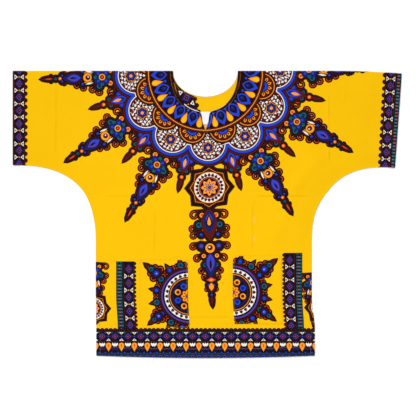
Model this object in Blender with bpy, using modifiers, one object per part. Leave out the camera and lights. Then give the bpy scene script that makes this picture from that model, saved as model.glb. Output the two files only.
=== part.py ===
"""A dashiki shirt laid flat: one cloth with its sleeves cut in one, folded at the shoulders.

The cloth is laid out as the maker cuts it, front and back in one length round a neck hole, and is
then folded over at the shoulder line. Two patch pockets lie on the front, and a facing and a small
blank label lie inside the back of the neck. Units are metres, +X to the wearer's left as it lies,
+Y towards the neck and +Z up from the surface that the shirt lies on.
"""

import math

import bpy
import numpy as np
from mathutils import Vector
from mathutils.geometry import delaunay_2d_cdt

# The cut. Depth is measured down the cloth from the shoulder fold.
CUFF_REACH = 0.524  # centre line to the sleeve's hem
CUFF_DEPTH = 0.255  # shoulder fold to the underside of the sleeve at its hem
HALF_CHEST = 0.291  # centre line to the side seam
BODY_LENGTH = 0.775  # shoulder fold to the hem at the centre
HEM_RISE = 0.006  # the hem is this much shorter at the side seams
UNDERARM_LOW = 0.468  # depth where the underarm curve runs into the side seam
UNDERARM_POWER = 2.5  # how square the underarm curve is
VENT_LENGTH = 0.095  # unsewn foot of each side seam
VENT_FLARE = 0.003  # the vents stand out from the side seams by this much
FLARE_RUN = 0.05  # length of side over which they come to stand out

# The neck hole, round the centre of the fold.
NECK_HALF_WIDTH = 0.088
FRONT_NECK_DEPTH = 0.111
BACK_NECK_DEPTH = 0.071
FRONT_NECK_POWER = 2.25
BACK_NECK_POWER = 2.0
NOTCH = (  # the slit below the front neckline, from its mouth to its foot
    {"depth": 0.1135, "half_width": 0.0130},
    {"depth": 0.1205, "half_width": 0.0102},
    {"depth": 0.1370, "half_width": 0.0084},
    {"depth": 0.1500, "half_width": 0.0042},
    {"depth": 0.1600, "half_width": 0.0008},
)
NOTCH_SHOULDER = 0.004  # each side of the slit's mouth, where the neckline turns down into it

# Cloth walls and how the layers lie.
WALL = 0.0012
TURNED_WALL = 0.0020  # where a hem is turned in and stitched
SEAM_GAP = 0.0003
LAID_TOP = 0.0044  # top of the front layer above the surface, over most of the shirt
SEAM_DIP = 0.0016  # the front comes down by this much to meet the back at a seam
SEAM_REACH = 0.024
BODY_HEM = 0.024
CUFF_HEM = 0.020
VENT_HEM = 0.010
HEM_STEP = 0.0015  # width of the step at a turned hem's inner edge

# How the symmetrical cut was laid down.
SLEEVE_SLIDE = 0.0050  # both sleeves lie this much further towards +X at their hems
SLEEVE_ROOT = 0.250
DROOP_START = 0.330
DROOP_ANGLE = 0.072  # radians that the right sleeve's hem is turned by
BODY_SWAY = -0.0047  # sideways, between the sleeves and the vents
SWAY_FROM, SWAY_TO, SWAY_EASE = 0.300, 0.700, 0.100

# Soft folds in the front layer: a ridge is above zero, a trough below.
SOFT_FOLDS = (
    {"x": -0.262, "depth": 0.292, "angle": 52, "half_length": 0.120, "width": 0.017, "height": 0.0012},
    {"x": -0.232, "depth": 0.352, "angle": 66, "half_length": 0.090, "width": 0.014, "height": 0.0007},
    {"x": 0.268, "depth": 0.284, "angle": -49, "half_length": 0.110, "width": 0.018, "height": 0.0013},
    {"x": 0.226, "depth": 0.368, "angle": -70, "half_length": 0.100, "width": 0.015, "height": 0.0006},
    {"x": -0.430, "depth": 0.130, "angle": 86, "half_length": 0.085, "width": 0.020, "height": 0.0007},
    {"x": 0.425, "depth": 0.118, "angle": 97, "half_length": 0.095, "width": 0.022, "height": 0.0008},
    {"x": -0.345, "depth": 0.205, "angle": 18, "half_length": 0.080, "width": 0.016, "height": -0.0006},
    {"x": 0.352, "depth": 0.196, "angle": -14, "half_length": 0.070, "width": 0.015, "height": -0.0006},
    {"x": -0.118, "depth": 0.452, "angle": 82, "half_length": 0.120, "width": 0.024, "height": 0.0008},
    {"x": 0.088, "depth": 0.470, "angle": 95, "half_length": 0.105, "width": 0.022, "height": 0.0006},
    {"x": 0.205, "depth": 0.505, "angle": 80, "half_length": 0.120, "width": 0.020, "height": 0.0009},
    {"x": -0.222, "depth": 0.560, "angle": 98, "half_length": 0.130, "width": 0.018, "height": 0.0008},
    {"x": 0.020, "depth": 0.640, "angle": 88, "half_length": 0.100, "width": 0.026, "height": 0.0007},
    {"x": 0.245, "depth": 0.655, "angle": 93, "half_length": 0.090, "width": 0.014, "height": 0.0007},
)
# Sharp lines left where the shirt was folded up and pressed. Each runs from one end to the other.
PRESS_CREASES = (
    {"x": -0.408, "depth": 0.022, "to_x": -0.410, "to_depth": 0.232, "height": 0.0006},
    {"x": 0.332, "depth": 0.050, "to_x": 0.334, "to_depth": 0.262, "height": 0.0005},
    {"x": -0.336, "depth": 0.200, "to_x": -0.338, "to_depth": 0.300, "height": 0.0004},
    {"x": -0.135, "depth": 0.360, "to_x": -0.136, "to_depth": 0.500, "height": 0.0006},
    {"x": 0.130, "depth": 0.350, "to_x": 0.131, "to_depth": 0.492, "height": 0.0006},
    {"x": 0.130, "depth": 0.342, "to_x": 0.286, "to_depth": 0.342, "height": 0.0005},
    {"x": -0.270, "depth": 0.342, "to_x": -0.145, "to_depth": 0.343, "height": 0.0004},
    {"x": -0.040, "depth": 0.669, "to_x": 0.074, "to_depth": 0.668, "height": 0.0005},
)
CREASE_HALF_WIDTH = 0.004
CREASE_END = 0.125  # share of a crease's length over which it rises at each end
EDGE_CALM = 0.03  # folds and creases die out over this distance from the fold and the hem

# Patch pockets, sewn on the front. Depth and x are of the upper corner nearest the centre.
POCKET_WIDTH = 0.130
POCKET_HEIGHT = 0.182
POCKET_HEM = 0.020
POCKETS = (
    {"name": "pocket_left", "x": -0.043, "depth": 0.512, "side": -1},
    {"name": "pocket_right", "x": 0.079, "depth": 0.501, "side": 1},
)

# Inside the back of the neck.
FACING_WIDTH = 0.039
FACING_WALL = 0.0010
FACING_SET_BACK = 0.0010  # from the back neckline
FACING_TOP_DEPTH = 0.006  # where it ends below the shoulder fold
LABEL_WIDTH = 0.040
LABEL_HEIGHT = 0.034
LABEL_WALL = 0.0010

# Spacing of the points that each piece is made from.
FRONT_STEP = 0.022
BACK_STEP = 0.050
EDGE_STEP = 0.018
HEM_LINE_STEP = 0.027
SEAM_STEP = 0.030
BEND_STEP = 0.030
POCKET_HEM_STEP = 0.026
LINE_SHORT = {"foot": 0.002, "vent": 0.004, "cuff": 0.003, "neck": 0.004}  # lines end this far short
ROW_SHARE = 0.87  # from one staggered row to the next, as a share of the step
CLEAR_SHARE = {"front": 0.55, "back": 0.45}  # room round a point already there, as a share of the step
FRONT_START, BACK_START = 0.020, 0.030  # depth of the first rows below the shoulder fold
MERGE_DISTANCE = 0.000001

COTTON = {"colour": (0.98, 0.57, 0.006), "roughness": 0.85}
FACING_COTTON = {"colour": (0.93, 0.55, 0.03), "roughness": 0.88}
SATIN = {"colour": (0.86, 0.86, 0.84), "roughness": 0.45}

FOLD_RADIUS = LAID_TOP / 2
FOLD_REACH = math.pi * FOLD_RADIUS / 2  # cloth taken up on each side of the fold's top
BEND = (0.0, FOLD_REACH / 2, FOLD_REACH)  # depths of the lines that round the fold off


def ramp(value):
    """A smooth step from 0 to 1."""
    held = min(max(value, 0.0), 1.0)
    return held * held * (3 - 2 * held)


def spaced(start, end, step):
    """Points from start up to but not including end, evenly spaced."""
    count = max(1, round(math.dist(start, end) / step))
    shares = [i / count for i in range(count)]
    return [tuple(a + (b - a) * share for a, b in zip(start, end)) for share in shares]


def hem_depth(x):
    return BODY_LENGTH - HEM_RISE * (x / HALF_CHEST) ** 2


def side_x(depth):
    """Centre line to the side seam, with the vent's small flare at the foot."""
    vent_top = BODY_LENGTH - VENT_LENGTH
    return HALF_CHEST + VENT_FLARE * ramp((depth - vent_top + FLARE_RUN) / FLARE_RUN)


def underarm(count=14):
    """The curve from the side seam's top out to the sleeve's hem."""
    wide, tall = CUFF_REACH - HALF_CHEST, UNDERARM_LOW - CUFF_DEPTH
    turns = [math.radians(90) * i / count for i in range(count + 1)]
    power = 2 / UNDERARM_POWER
    return [
        (CUFF_REACH - wide * math.cos(t) ** power, UNDERARM_LOW - tall * math.sin(t) ** power)
        for t in turns
    ]


def quarter_outline():
    """The cut's edge from the hem at the centre line, round to the sleeve's hem at the fold."""
    hem_corner = (side_x(BODY_LENGTH), hem_depth(HALF_CHEST))
    hem = [(x, hem_depth(x)) for x, _ in spaced((0, 0), (hem_corner[0], 0), EDGE_STEP)]
    side = [
        (side_x(depth), depth)
        for _, depth in spaced((0, hem_corner[1]), (0, UNDERARM_LOW), EDGE_STEP)
    ]
    cuff = spaced((CUFF_REACH, CUFF_DEPTH), (CUFF_REACH, BEND[-1]), EDGE_STEP)
    bend = [(CUFF_REACH, depth) for depth in BEND[:0:-1]]
    return hem + side + underarm()[:-1] + cuff + bend


def whole_outline():
    """The whole cut, front depths positive and back depths negative."""
    quarter = quarter_outline()
    left_front = [(-x, depth) for x, depth in quarter]
    left_back = [(-x, -depth) for x, depth in reversed(quarter)]
    right_back = [(x, -depth) for x, depth in quarter[1:]]
    right_front = list(reversed(quarter[1:]))
    left_end, right_end = [(-CUFF_REACH, 0.0)], [(CUFF_REACH, 0.0)]
    return left_front + left_end + left_back + right_back + right_end + right_front


def neck_curve(depth, power, count=20):
    """Half of the neck hole, from the right shoulder round to the left one."""
    turns = [math.pi * i / count for i in range(count + 1)]
    return [
        (
            NECK_HALF_WIDTH * math.copysign(abs(math.cos(t)) ** (2 / power), math.cos(t)),
            depth * math.sin(t) ** (2 / power),
        )
        for t in turns
    ]


def neck_hole():
    """The hole's edge: the front neckline with its notch, and the back neckline."""
    front = neck_curve(FRONT_NECK_DEPTH, FRONT_NECK_POWER)
    mouth = NOTCH[0]["half_width"] + NOTCH_SHOULDER
    right = [p for p in front[1:] if p[0] > mouth]
    left = [p for p in front[:-1] if p[0] < -mouth]
    ends = [(NECK_HALF_WIDTH, depth) for depth in BEND]
    left += [(-x, depth) for x, depth in reversed(ends)]
    right = ends + right
    notch = [(row["half_width"], row["depth"]) for row in NOTCH]
    notch += [(-row["half_width"], row["depth"]) for row in reversed(NOTCH)]
    back = neck_curve(BACK_NECK_DEPTH, BACK_NECK_POWER)[1:-1]
    back = ends[1:] + back + [(-x, depth) for x, depth in reversed(ends[1:])]
    return right + notch + left + [(x, -depth) for x, depth in reversed(back)]


def seam_line():
    """The right side seam from the vent's top to the sleeve's hem, as points."""
    vent_top = BODY_LENGTH - VENT_LENGTH
    side = [(side_x(d), d) for _, d in spaced((0, vent_top), (0, UNDERARM_LOW), SEAM_STEP)]
    return np.array(side + underarm())


SEAM = seam_line()


def seam_distance(x, depth):
    """Distance from a point of the cut to the nearer side seam."""
    point = np.array([abs(x), abs(depth)])
    start, along = SEAM[:-1], SEAM[1:] - SEAM[:-1]
    share = ((point - start) * along).sum(1) / (along * along).sum(1)
    nearest = start + along * np.clip(share, 0, 1)[:, None]
    return float(np.sqrt(((point - nearest) ** 2).sum(1)).min())


def across_line(x, depth, row):
    """Where a point lies by a crease: its distance from the line, and its share along it."""
    run = (row["to_x"] - row["x"], row["to_depth"] - row["depth"])
    length = math.hypot(*run)
    off = (x - row["x"], depth - row["depth"])
    share = (off[0] * run[0] + off[1] * run[1]) / length**2
    return abs(off[0] * run[1] - off[1] * run[0]) / length, share


def fold_height(x, depth, row):
    """What one soft fold adds to the front layer's height."""
    turn = math.radians(row["angle"])
    off_x, off_depth = x - row["x"], depth - row["depth"]
    along = off_x * math.cos(turn) + off_depth * math.sin(turn)
    across = -off_x * math.sin(turn) + off_depth * math.cos(turn)
    bell = math.exp(-((across / row["width"]) ** 2) - (along / row["half_length"]) ** 4)
    return row["height"] * bell


def crease_height(x, depth, row):
    across, share = across_line(x, depth, row)
    if across > CREASE_HALF_WIDTH or not 0 < share < 1:
        return 0.0
    slope = 1 - across / CREASE_HALF_WIDTH
    return row["height"] * slope * ramp(min(share, 1 - share) / CREASE_END)


def front_top(x, depth):
    """Height of the front layer's outer face."""
    seam = math.exp(-((seam_distance(x, depth) / SEAM_REACH) ** 2))
    relief = sum(fold_height(x, depth, row) for row in SOFT_FOLDS)
    relief += sum(crease_height(x, depth, row) for row in PRESS_CREASES)
    to_edge = min(depth - FOLD_REACH, hem_depth(x) - depth)
    calm = ramp(to_edge / EDGE_CALM) * (1 - seam)
    wall = WALL + (TURNED_WALL - WALL) * turned_share(x, depth)
    return max(LAID_TOP - SEAM_DIP * seam + relief * calm, 2 * wall + SEAM_GAP)


def turned_share(x, depth):
    """1 where the cloth is turned in double at a hem, 0 where it is single."""
    vent_top = BODY_LENGTH - VENT_LENGTH
    side = side_x(abs(depth)) - abs(x)
    into = [
        BODY_HEM - (hem_depth(x) - abs(depth)),
        CUFF_HEM - (CUFF_REACH - abs(x)),
        VENT_HEM - side if abs(depth) > vent_top else -1.0,
    ]
    return min(max(max(into) / HEM_STEP, 0.0), 1.0)


def laid(x, y):
    """Moves a point of the folded, symmetrical shirt to where it was laid down."""
    depth = -y
    reach = CUFF_REACH - SLEEVE_ROOT
    moved_x = x + SLEEVE_SLIDE * ramp((abs(x) - SLEEVE_ROOT) / reach)
    sway = ramp((depth - SWAY_FROM) / SWAY_EASE) * ramp((SWAY_TO - depth) / SWAY_EASE)
    moved_x += BODY_SWAY * sway
    past = max(0.0, x - DROOP_START)
    span = CUFF_REACH - DROOP_START
    turn = DROOP_ANGLE * past / span
    return moved_x - turn * depth, y - turn * past / 2


def folded(x, depth):
    """A point of the cut's outer face after folding at the shoulder line, before it is centred."""
    if depth > FOLD_REACH:
        y = -FOLD_RADIUS - (depth - FOLD_REACH)
        z = front_top(x, depth)
    elif depth < -FOLD_REACH:
        y, z = -FOLD_RADIUS - (-depth - FOLD_REACH), 0.0
    else:
        turn = depth / FOLD_RADIUS
        y = -FOLD_RADIUS * (1 - math.cos(turn))
        z = FOLD_RADIUS * (1 + math.sin(turn))
    return (*laid(x, y), z)


def middle():
    """The centre of the laid shirt's outline, which becomes the origin."""
    edge = np.array([folded(x, depth)[:2] for x, depth in whole_outline()])
    return (edge.min(0) + edge.max(0)) / 2


MIDDLE = middle()


def placed(x, depth):
    """A point of the cut's outer face in the part's own frame."""
    px, py, pz = folded(x, depth)
    return Vector((px - MIDDLE[0], py - MIDDLE[1], pz))


def pocket_outline(row):
    """A pocket's edge on the cut, a plain rectangle with its points evenly spaced."""
    x, top = row["x"], row["depth"]
    outer, foot = x + row["side"] * POCKET_WIDTH, top + POCKET_HEIGHT
    corners = [(x, top), (outer, top), (outer, foot), (x, foot)]
    corners = corners if row["side"] > 0 else corners[::-1]
    edge = []
    for start, end in zip(corners, corners[1:] + corners[:1]):
        edge += spaced(start, end, EDGE_STEP)
    return edge


def hem_lines():
    """Both edges of the step at each turned hem, front and back, as open lines on the cut."""
    lines = []
    for way in (1, -1):
        for inset in (BODY_HEM, BODY_HEM - HEM_STEP):
            reach = HALF_CHEST - VENT_HEM - LINE_SHORT["foot"]
            run = spaced((-reach, 0), (reach, 0), HEM_LINE_STEP) + [(reach, 0)]
            lines.append([(x, way * (hem_depth(x) - inset)) for x, _ in run])
        for side in (1, -1):
            for inset in (VENT_HEM, VENT_HEM - HEM_STEP):
                top = BODY_LENGTH - VENT_LENGTH
                foot = BODY_LENGTH - BODY_HEM - HEM_RISE - LINE_SHORT["vent"]
                run = spaced((0, top), (0, foot), HEM_LINE_STEP) + [(0, foot)]
                lines.append([(side * (side_x(d) - inset), way * d) for _, d in run])
    for side in (1, -1):
        for inset in (CUFF_HEM, CUFF_HEM - HEM_STEP):
            x = side * (CUFF_REACH - inset)
            foot = CUFF_DEPTH - LINE_SHORT["cuff"]
            lines.append(spaced((x, -foot), (x, foot), HEM_LINE_STEP) + [(x, foot)])
    return lines


def crease_lines():
    lines = []
    for row in PRESS_CREASES:
        start, end = (row["x"], row["depth"]), (row["to_x"], row["to_depth"])
        lines.append(spaced(start, end, FRONT_STEP) + [end])
    return lines


def fold_lines():
    """Lines across the cloth that round the shoulder fold off."""
    lines = []
    for depth in [-d for d in BEND[:0:-1]] + list(BEND):
        for side in (1, -1):
            start = side * (NECK_HALF_WIDTH + LINE_SHORT["neck"])
            end = side * (CUFF_REACH - LINE_SHORT["cuff"])
            lines.append([(x, depth) for x, _ in spaced((start, 0), (end, 0), BEND_STEP)] + [(end, depth)])
    return lines


def filler(taken, step, low, high, clearance):
    """Rows of points between two depths, staggered, that keep clear of the points taken."""
    taken = np.array(taken)
    found = []
    rows = int((high - low) / (step * ROW_SHARE))
    for r in range(rows + 1):
        depth = low + (high - low) * (r + 0.5) / (rows + 1)
        for c in range(int(2 * CUFF_REACH / step) + 1):
            x = -CUFF_REACH + (c + 0.5 * (r % 2)) * step
            gap = np.hypot(taken[:, 0] - x, taken[:, 1] - depth).min()
            if gap > clearance:
                found.append((x, depth))
    return found


def triangulated(outline, regions, lines, loose):
    """Fills an outline with triangles. Gives the points, the triangles and which regions hold each."""
    points, edges, faces = [], [], []
    for ring in [outline, *regions]:
        faces.append(list(range(len(points), len(points) + len(ring))))
        points += ring
    for line in lines:
        first = len(points)
        points += line
        edges += [(first + i, first + i + 1) for i in range(len(line) - 1)]
    points += loose
    found = delaunay_2d_cdt([Vector(p) for p in points], edges, faces, 1, MERGE_DISTANCE, True)
    held = [set(ids) for ids in found[5]]
    inside = [(face, ids) for face, ids in zip(found[2], held) if 0 in ids]
    return found[0], [face for face, _ in inside], [ids for _, ids in inside]


def material(name, finish):
    made = bpy.data.materials.new(name)
    made.use_nodes = True
    surface = made.node_tree.nodes["Principled BSDF"]
    surface.inputs["Base Color"].default_value = (*finish["colour"], 1.0)
    surface.inputs["Roughness"].default_value = finish["roughness"]
    return made


def cloth(name, collection, points, faces, wall, turned, finish):
    """A thin wall of cloth under the outer face that the points give."""
    used = sorted({i for face in faces for i in face})
    number = {old: new for new, old in enumerate(used)}
    mesh = bpy.data.meshes.new(name)
    mesh.from_pydata([points[i] for i in used], [], [[number[i] for i in f] for f in faces])
    mesh.validate()
    mesh.shade_smooth()
    made = bpy.data.objects.new(name, mesh)
    collection.objects.link(made)
    mesh.materials.append(finish)
    group = made.vertex_groups.new(name="turned_hem")
    for new, old in enumerate(used):
        group.add([new], turned[old], "REPLACE")
    shell = made.modifiers.new("wall", "SOLIDIFY")
    hemmed = any(turned[i] > 0 for i in used)
    shell.thickness = TURNED_WALL if hemmed else wall
    shell.offset = -1.0
    shell.use_even_offset = True
    if hemmed:
        shell.vertex_group = group.name
        shell.thickness_vertex_group = wall / TURNED_WALL
    return made


def make_body(collection, finish):
    """The one cut cloth, folded, and the points that the pockets are made from."""
    outline, hole = whole_outline(), neck_hole()
    pockets = [pocket_outline(row) for row in POCKETS]
    pocket_hems = []
    for row in POCKETS:
        foot, ends = row["depth"] + POCKET_HEM, (row["x"], row["x"] + row["side"] * POCKET_WIDTH)
        for depth in (foot, foot - HEM_STEP):
            run = spaced((ends[0], depth), (ends[1], depth), POCKET_HEM_STEP)
            pocket_hems.append(run + [(ends[1], depth)])
    lines = hem_lines() + crease_lines() + fold_lines() + pocket_hems
    taken = outline + hole + [p for ring in pockets for p in ring] + [p for line in lines for p in line]
    loose = filler(taken, FRONT_STEP, FRONT_START, BODY_LENGTH, CLEAR_SHARE["front"] * FRONT_STEP)
    loose += filler(taken, BACK_STEP, -BODY_LENGTH, -BACK_START, CLEAR_SHARE["back"] * BACK_STEP)
    flat, faces, held = triangulated(outline, [hole, *pockets], lines, loose)
    cloth_faces = [(face, ids) for face, ids in zip(faces, held) if 1 not in ids]
    points = [placed(*p) for p in flat]
    turned = [turned_share(*p) for p in flat]
    # The cut's depth runs down while +Y runs up, so each triangle is turned over to face outwards.
    body = cloth("body", collection, points, [f[::-1] for f, _ in cloth_faces], WALL, turned, finish)
    # Region 1 is the neck hole, and the pockets follow it.
    patches = [[f[::-1] for f, ids in cloth_faces if number + 2 in ids] for number in range(len(POCKETS))]
    return body, flat, points, patches


def make_pocket(collection, row, flat, points, faces, finish):
    """A patch pocket from the front's own points, moved out."""
    foot = row["depth"] + POCKET_HEM
    turned = [min(max((foot - depth) / HEM_STEP, 0.0), 1.0) for _, depth in flat]
    used = {i for face in faces for i in face}
    lifted = list(points)
    for i in used:
        wall = WALL + (TURNED_WALL - WALL) * turned[i]
        lifted[i] = points[i] + Vector((0, 0, SEAM_GAP + wall))
    return cloth(row["name"], collection, lifted, faces, WALL, turned, finish)


def inside_back(x, depth, height):
    """A point on the inner face of the back layer, moved up by height."""
    px, py = laid(x, -depth)
    return Vector((px - MIDDLE[0], py - MIDDLE[1], WALL + SEAM_GAP + height))


def neck_facing(collection, finish):
    """The strip sewn round the inside of the back neckline."""
    inner_wide, inner_deep = NECK_HALF_WIDTH + FACING_SET_BACK, BACK_NECK_DEPTH + FACING_SET_BACK
    steps, rows = 32, 3
    flat = []
    for i in range(steps + 1):
        for j in range(rows + 1):
            wide = inner_wide + (FACING_WIDTH - FACING_SET_BACK) * j / rows
            deep = inner_deep + (FACING_WIDTH - FACING_SET_BACK) * j / rows
            start = math.asin(FACING_TOP_DEPTH / deep)
            turn = start + (math.pi - 2 * start) * i / steps
            flat.append((wide * math.cos(turn), deep * math.sin(turn)))
    faces = []
    for i in range(steps):
        for j in range(rows):
            a = i * (rows + 1) + j
            faces.append((a, a + rows + 1, a + rows + 2, a + 1))
    points = [inside_back(x, depth, FACING_WALL) for x, depth in flat]
    return cloth("neck_facing", collection, points, faces, FACING_WALL, [0.0] * len(points), finish)


def label(collection, finish):
    """A small blank label on the inside of the back, just below the facing."""
    top = BACK_NECK_DEPTH + FACING_WIDTH + SEAM_GAP
    columns, rows = 4, 3
    points = []
    for i in range(rows + 1):
        for j in range(columns + 1):
            x = LABEL_WIDTH * (j / columns - 0.5)
            points.append(inside_back(x, top + LABEL_HEIGHT * i / rows, LABEL_WALL))
    faces = []
    for i in range(rows):
        for j in range(columns):
            a = i * (columns + 1) + j
            faces.append((a, a + columns + 1, a + columns + 2, a + 1))
    return cloth("label", collection, points, faces, LABEL_WALL, [0.0] * len(points), finish)


def main():
    for old in list(bpy.data.objects):
        bpy.data.objects.remove(old)
    collection = bpy.data.collections.new("dashiki_shirt")
    bpy.context.scene.collection.children.link(collection)
    cotton = material("printed_cotton", COTTON)
    _, flat, points, patches = make_body(collection, cotton)
    for row, faces in zip(POCKETS, patches):
        make_pocket(collection, row, flat, points, faces, cotton)
    neck_facing(collection, material("facing_cotton", FACING_COTTON))
    label(collection, material("label_satin", SATIN))


main()
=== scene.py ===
"""Looks of a dashiki shirt that lies flat: printed cotton, facing, patch pockets, label and sewing.

The print is drawn as flat shapes on the cut cloth, in millimetres: x to the right of the centre
line, and depth down the cloth from the shoulder fold, negative on the back. The shapes cut the
cloth's mesh, so that each face takes the ink of the uppermost shape over it, and the mesh is then
folded and laid like the solids.
"""

import math

import bpy
import numpy as np
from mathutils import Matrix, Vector
from mathutils.geometry import delaunay_2d_cdt

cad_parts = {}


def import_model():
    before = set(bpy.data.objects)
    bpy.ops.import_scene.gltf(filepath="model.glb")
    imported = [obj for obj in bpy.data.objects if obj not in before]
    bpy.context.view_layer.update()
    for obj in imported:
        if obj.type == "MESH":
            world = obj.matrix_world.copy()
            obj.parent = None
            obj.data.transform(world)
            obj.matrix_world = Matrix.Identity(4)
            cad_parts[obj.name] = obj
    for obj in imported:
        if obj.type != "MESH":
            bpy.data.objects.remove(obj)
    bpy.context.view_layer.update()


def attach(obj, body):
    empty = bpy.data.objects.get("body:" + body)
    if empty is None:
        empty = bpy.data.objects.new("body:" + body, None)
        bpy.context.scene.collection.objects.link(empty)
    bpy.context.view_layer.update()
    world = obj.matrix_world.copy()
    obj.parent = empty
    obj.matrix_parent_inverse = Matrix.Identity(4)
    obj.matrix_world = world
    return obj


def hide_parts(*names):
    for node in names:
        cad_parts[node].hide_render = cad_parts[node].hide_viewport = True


MM = 0.001

# The cut cloth, as the solids have it, in millimetres.
CUFF_REACH, CUFF_DEPTH = 524.0, 255.0
HALF_CHEST = 291.0
BODY_LENGTH, HEM_RISE = 775.0, 6.0
UNDERARM_LOW, UNDERARM_POWER = 468.0, 2.5
VENT_LENGTH, VENT_FLARE, FLARE_RUN = 95.0, 3.0, 50.0
VENT_TOP = BODY_LENGTH - VENT_LENGTH
NECK_HALF_WIDTH = 88.0
FRONT_NECK_DEPTH, BACK_NECK_DEPTH = 111.0, 71.0
FRONT_NECK_POWER = 2.25
# Down the front notch: half width, depth.
NOTCH = ((13.0, 113.5), (10.2, 120.5), (8.4, 137.0), (4.2, 150.0), (0.8, 160.0))
NOTCH_SHOULDER = 4.0

# Walls and how the layers lie.
WALL = 1.2
TURNED_WALL = 2.0
SEAM_GAP = 0.3
LAID_TOP = 4.4
SEAM_DIP, SEAM_REACH = 1.6, 24.0
BODY_HEM, CUFF_HEM, VENT_HEM = 24.0, 20.0, 10.0
HEM_STEP = 1.5  # over which a hem's double cloth thins to single
NECK_STITCH = 6.5
SLEEVE_SLIDE, SLEEVE_ROOT = 5.0, 250.0
DROOP_START, DROOP_ANGLE = 330.0, 0.072
BODY_SWAY = -4.7
SWAY_FROM, SWAY_TO, SWAY_EASE = 300.0, 700.0, 100.0
FOLD_RADIUS = LAID_TOP / 2
FOLD_REACH = math.pi * FOLD_RADIUS / 2

# Soft folds in the front, the first ones the solids' own: x, depth, angle, half length, width, height.
SOFT_FOLDS = (
    (-262, 292, 52, 120, 17, 1.2),
    (-232, 352, 66, 90, 14, 0.7),
    (268, 284, -49, 110, 18, 1.3),
    (226, 368, -70, 100, 15, 0.6),
    (-430, 130, 86, 85, 20, 0.7),
    (425, 118, 97, 95, 22, 0.8),
    (-345, 205, 18, 80, 16, -0.6),
    (352, 196, -14, 70, 15, -0.6),
    (-118, 452, 82, 120, 24, 0.8),
    (88, 470, 95, 105, 22, 0.6),
    (205, 505, 80, 120, 20, 0.9),
    (-222, 560, 98, 130, 18, 0.8),
    (20, 640, 88, 100, 26, 0.7),
    (245, 655, 93, 90, 14, 0.7),
    (-300, 262, 40, 46, 7, 0.35),
    (-286, 318, 60, 40, 6, 0.30),
    (296, 252, -38, 50, 7, 0.35),
    (282, 316, -60, 38, 6, 0.30),
    (-470, 150, 80, 52, 8, 0.25),
    (460, 205, 74, 40, 7, 0.25),
)
# Sharp lines left by pressing: x and depth of both ends, and height, negative where sunk.
PRESS_CREASES = (
    (-408, 22, -410, 232, 1.30),
    (328, 50, 331, 262, 1.20),
    (-336, 200, -338, 300, 0.55),
    (-135, 360, -136, 500, 1.40),
    (128, 350, 129, 492, 1.30),
    (130, 342, 286, 342, -1.30),
    (-270, 342, -145, 343, -0.90),
    (-40, 669, 74, 668, -0.90),
    (-176, 668, -196, 669, -0.50),
    (-18, 674, 30, 700, -0.40),
    (372, 20, 374, 90, 0.40),
    (-372, 120, -371, 176, 0.40),
)
CREASE_WIDTH = 2.8
CREASE_ROWS = (-5.6, -2.8, 0.0, 2.8, 5.6, 9.0)  # points beside a crease, across it

# Patch pockets: x and depth are of the upper corner nearest the centre.
POCKET_WIDTH, POCKET_HEIGHT, POCKET_HEM = 130.0, 182.0, 20.0
POCKETS = (
    {"node": "pocket_left", "x": -43.0, "depth": 512.0, "side": -1},
    {"node": "pocket_right", "x": 79.0, "depth": 501.0, "side": 1},
)
POCKET_FULLNESS = 0.5
ROSETTE_DOWN = 97  # its centre below the pocket's mouth
SPRIGS = ((78, 40, math.pi, -0.9, 1.15), (76, 146, 0.0, 0.9, 1.0))  # across, down, turn, lean, size

# Stitch lines inside the edges, then the facing and the label inside the back of the neck.
POCKET_SEAM, FACING_SEAM, LABEL_SEAM = 3.0, 4.0, 1.6
FACING_WIDTH, FACING_WALL, FACING_SET_BACK, FACING_TOP_DEPTH = 39.0, 1.0, 1.0, 6.0
LABEL_WIDTH, LABEL_HEIGHT, LABEL_WALL = 40.0, 34.0, 1.0
LABEL_TOP = BACK_NECK_DEPTH + FACING_WIDTH + SEAM_GAP

# The body's cut in two: name, whether it is the front, and its length and area in metres.
BODY_CUTS = (
    ("shirt_front_cloth", True, 0.7785, 0.571),
    ("shirt_back_cloth", False, 0.7715, 0.572),
)

PALE_HALF_WIDTH = 56.0  # how far the pale cut edge shows to each side of the centre line
FRAY_FROM, FRAY_TO, FRAY_WIDTH = -60.0, 22.0, 1.7  # the bare threads along that edge

# Inks of the print as they look on the cloth, red, green and blue out of 255.
INKS = {
    "ground": (247, 192, 4),
    "black": (24, 12, 16),
    "maroon": (86, 24, 18),
    "blue": (27, 70, 214),
    "navy": (27, 32, 98),
    "teal": (10, 96, 104),
    "violet": (82, 62, 168),
    "orange": (253, 158, 34),
    "red": (222, 78, 28),
    "white": (238, 238, 234),
    "wrong_side": (247, 190, 62),
    "pale_edge": (240, 236, 222),
}
LABEL_WHITE, OCHRE, OFF_WHITE = (230, 231, 231), (206, 150, 20), (240, 240, 236)

# Where the print lies, and its measures.
YOKE_DEPTH = 8.0  # the yoke's centre below the shoulder fold
LEAN = math.radians(2.1)  # the print was cut a little off the straight
MEDALLION_AT, CROWN_AT, TAIL_AT = 66.0, 129.0, 216.0  # down the centre drop
LOBES, LOBE_REACH, LOBE_RADIUS = 12, 189.0, 57.0
SEED_STEP, SEED_ROW, SEED_SIZE = 10.2, 8.4, 0.92
SEED_ROWS, SEED_START = 9, 158.0
SEED_TURNS = (0.3, 2.4, -1.1, 3.5, 1.3, -0.5, 4.4)
OUTLINES = (("black", 6.6), ("maroon", 4.0), ("black", 2.9))  # round a motif, the outermost first
SMALL_OUTLINES = (("black", 4.2), ("maroon", 2.8), ("black", 1.5))
SPRIG_OUTLINES = (("black", 4.2), ("maroon", 2.6), ("black", 1.6))
BORDER_STEP = 36  # from one diamond to the next
CUFF_PAST = 15  # how far the cuffs' borders run past the cloth at each end
CUFF_BAND, RIGHT_CUFF_BAND, CUFF_RIBBON = 34, 32, 13
HEM_BAND_STEP = 34.8
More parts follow.
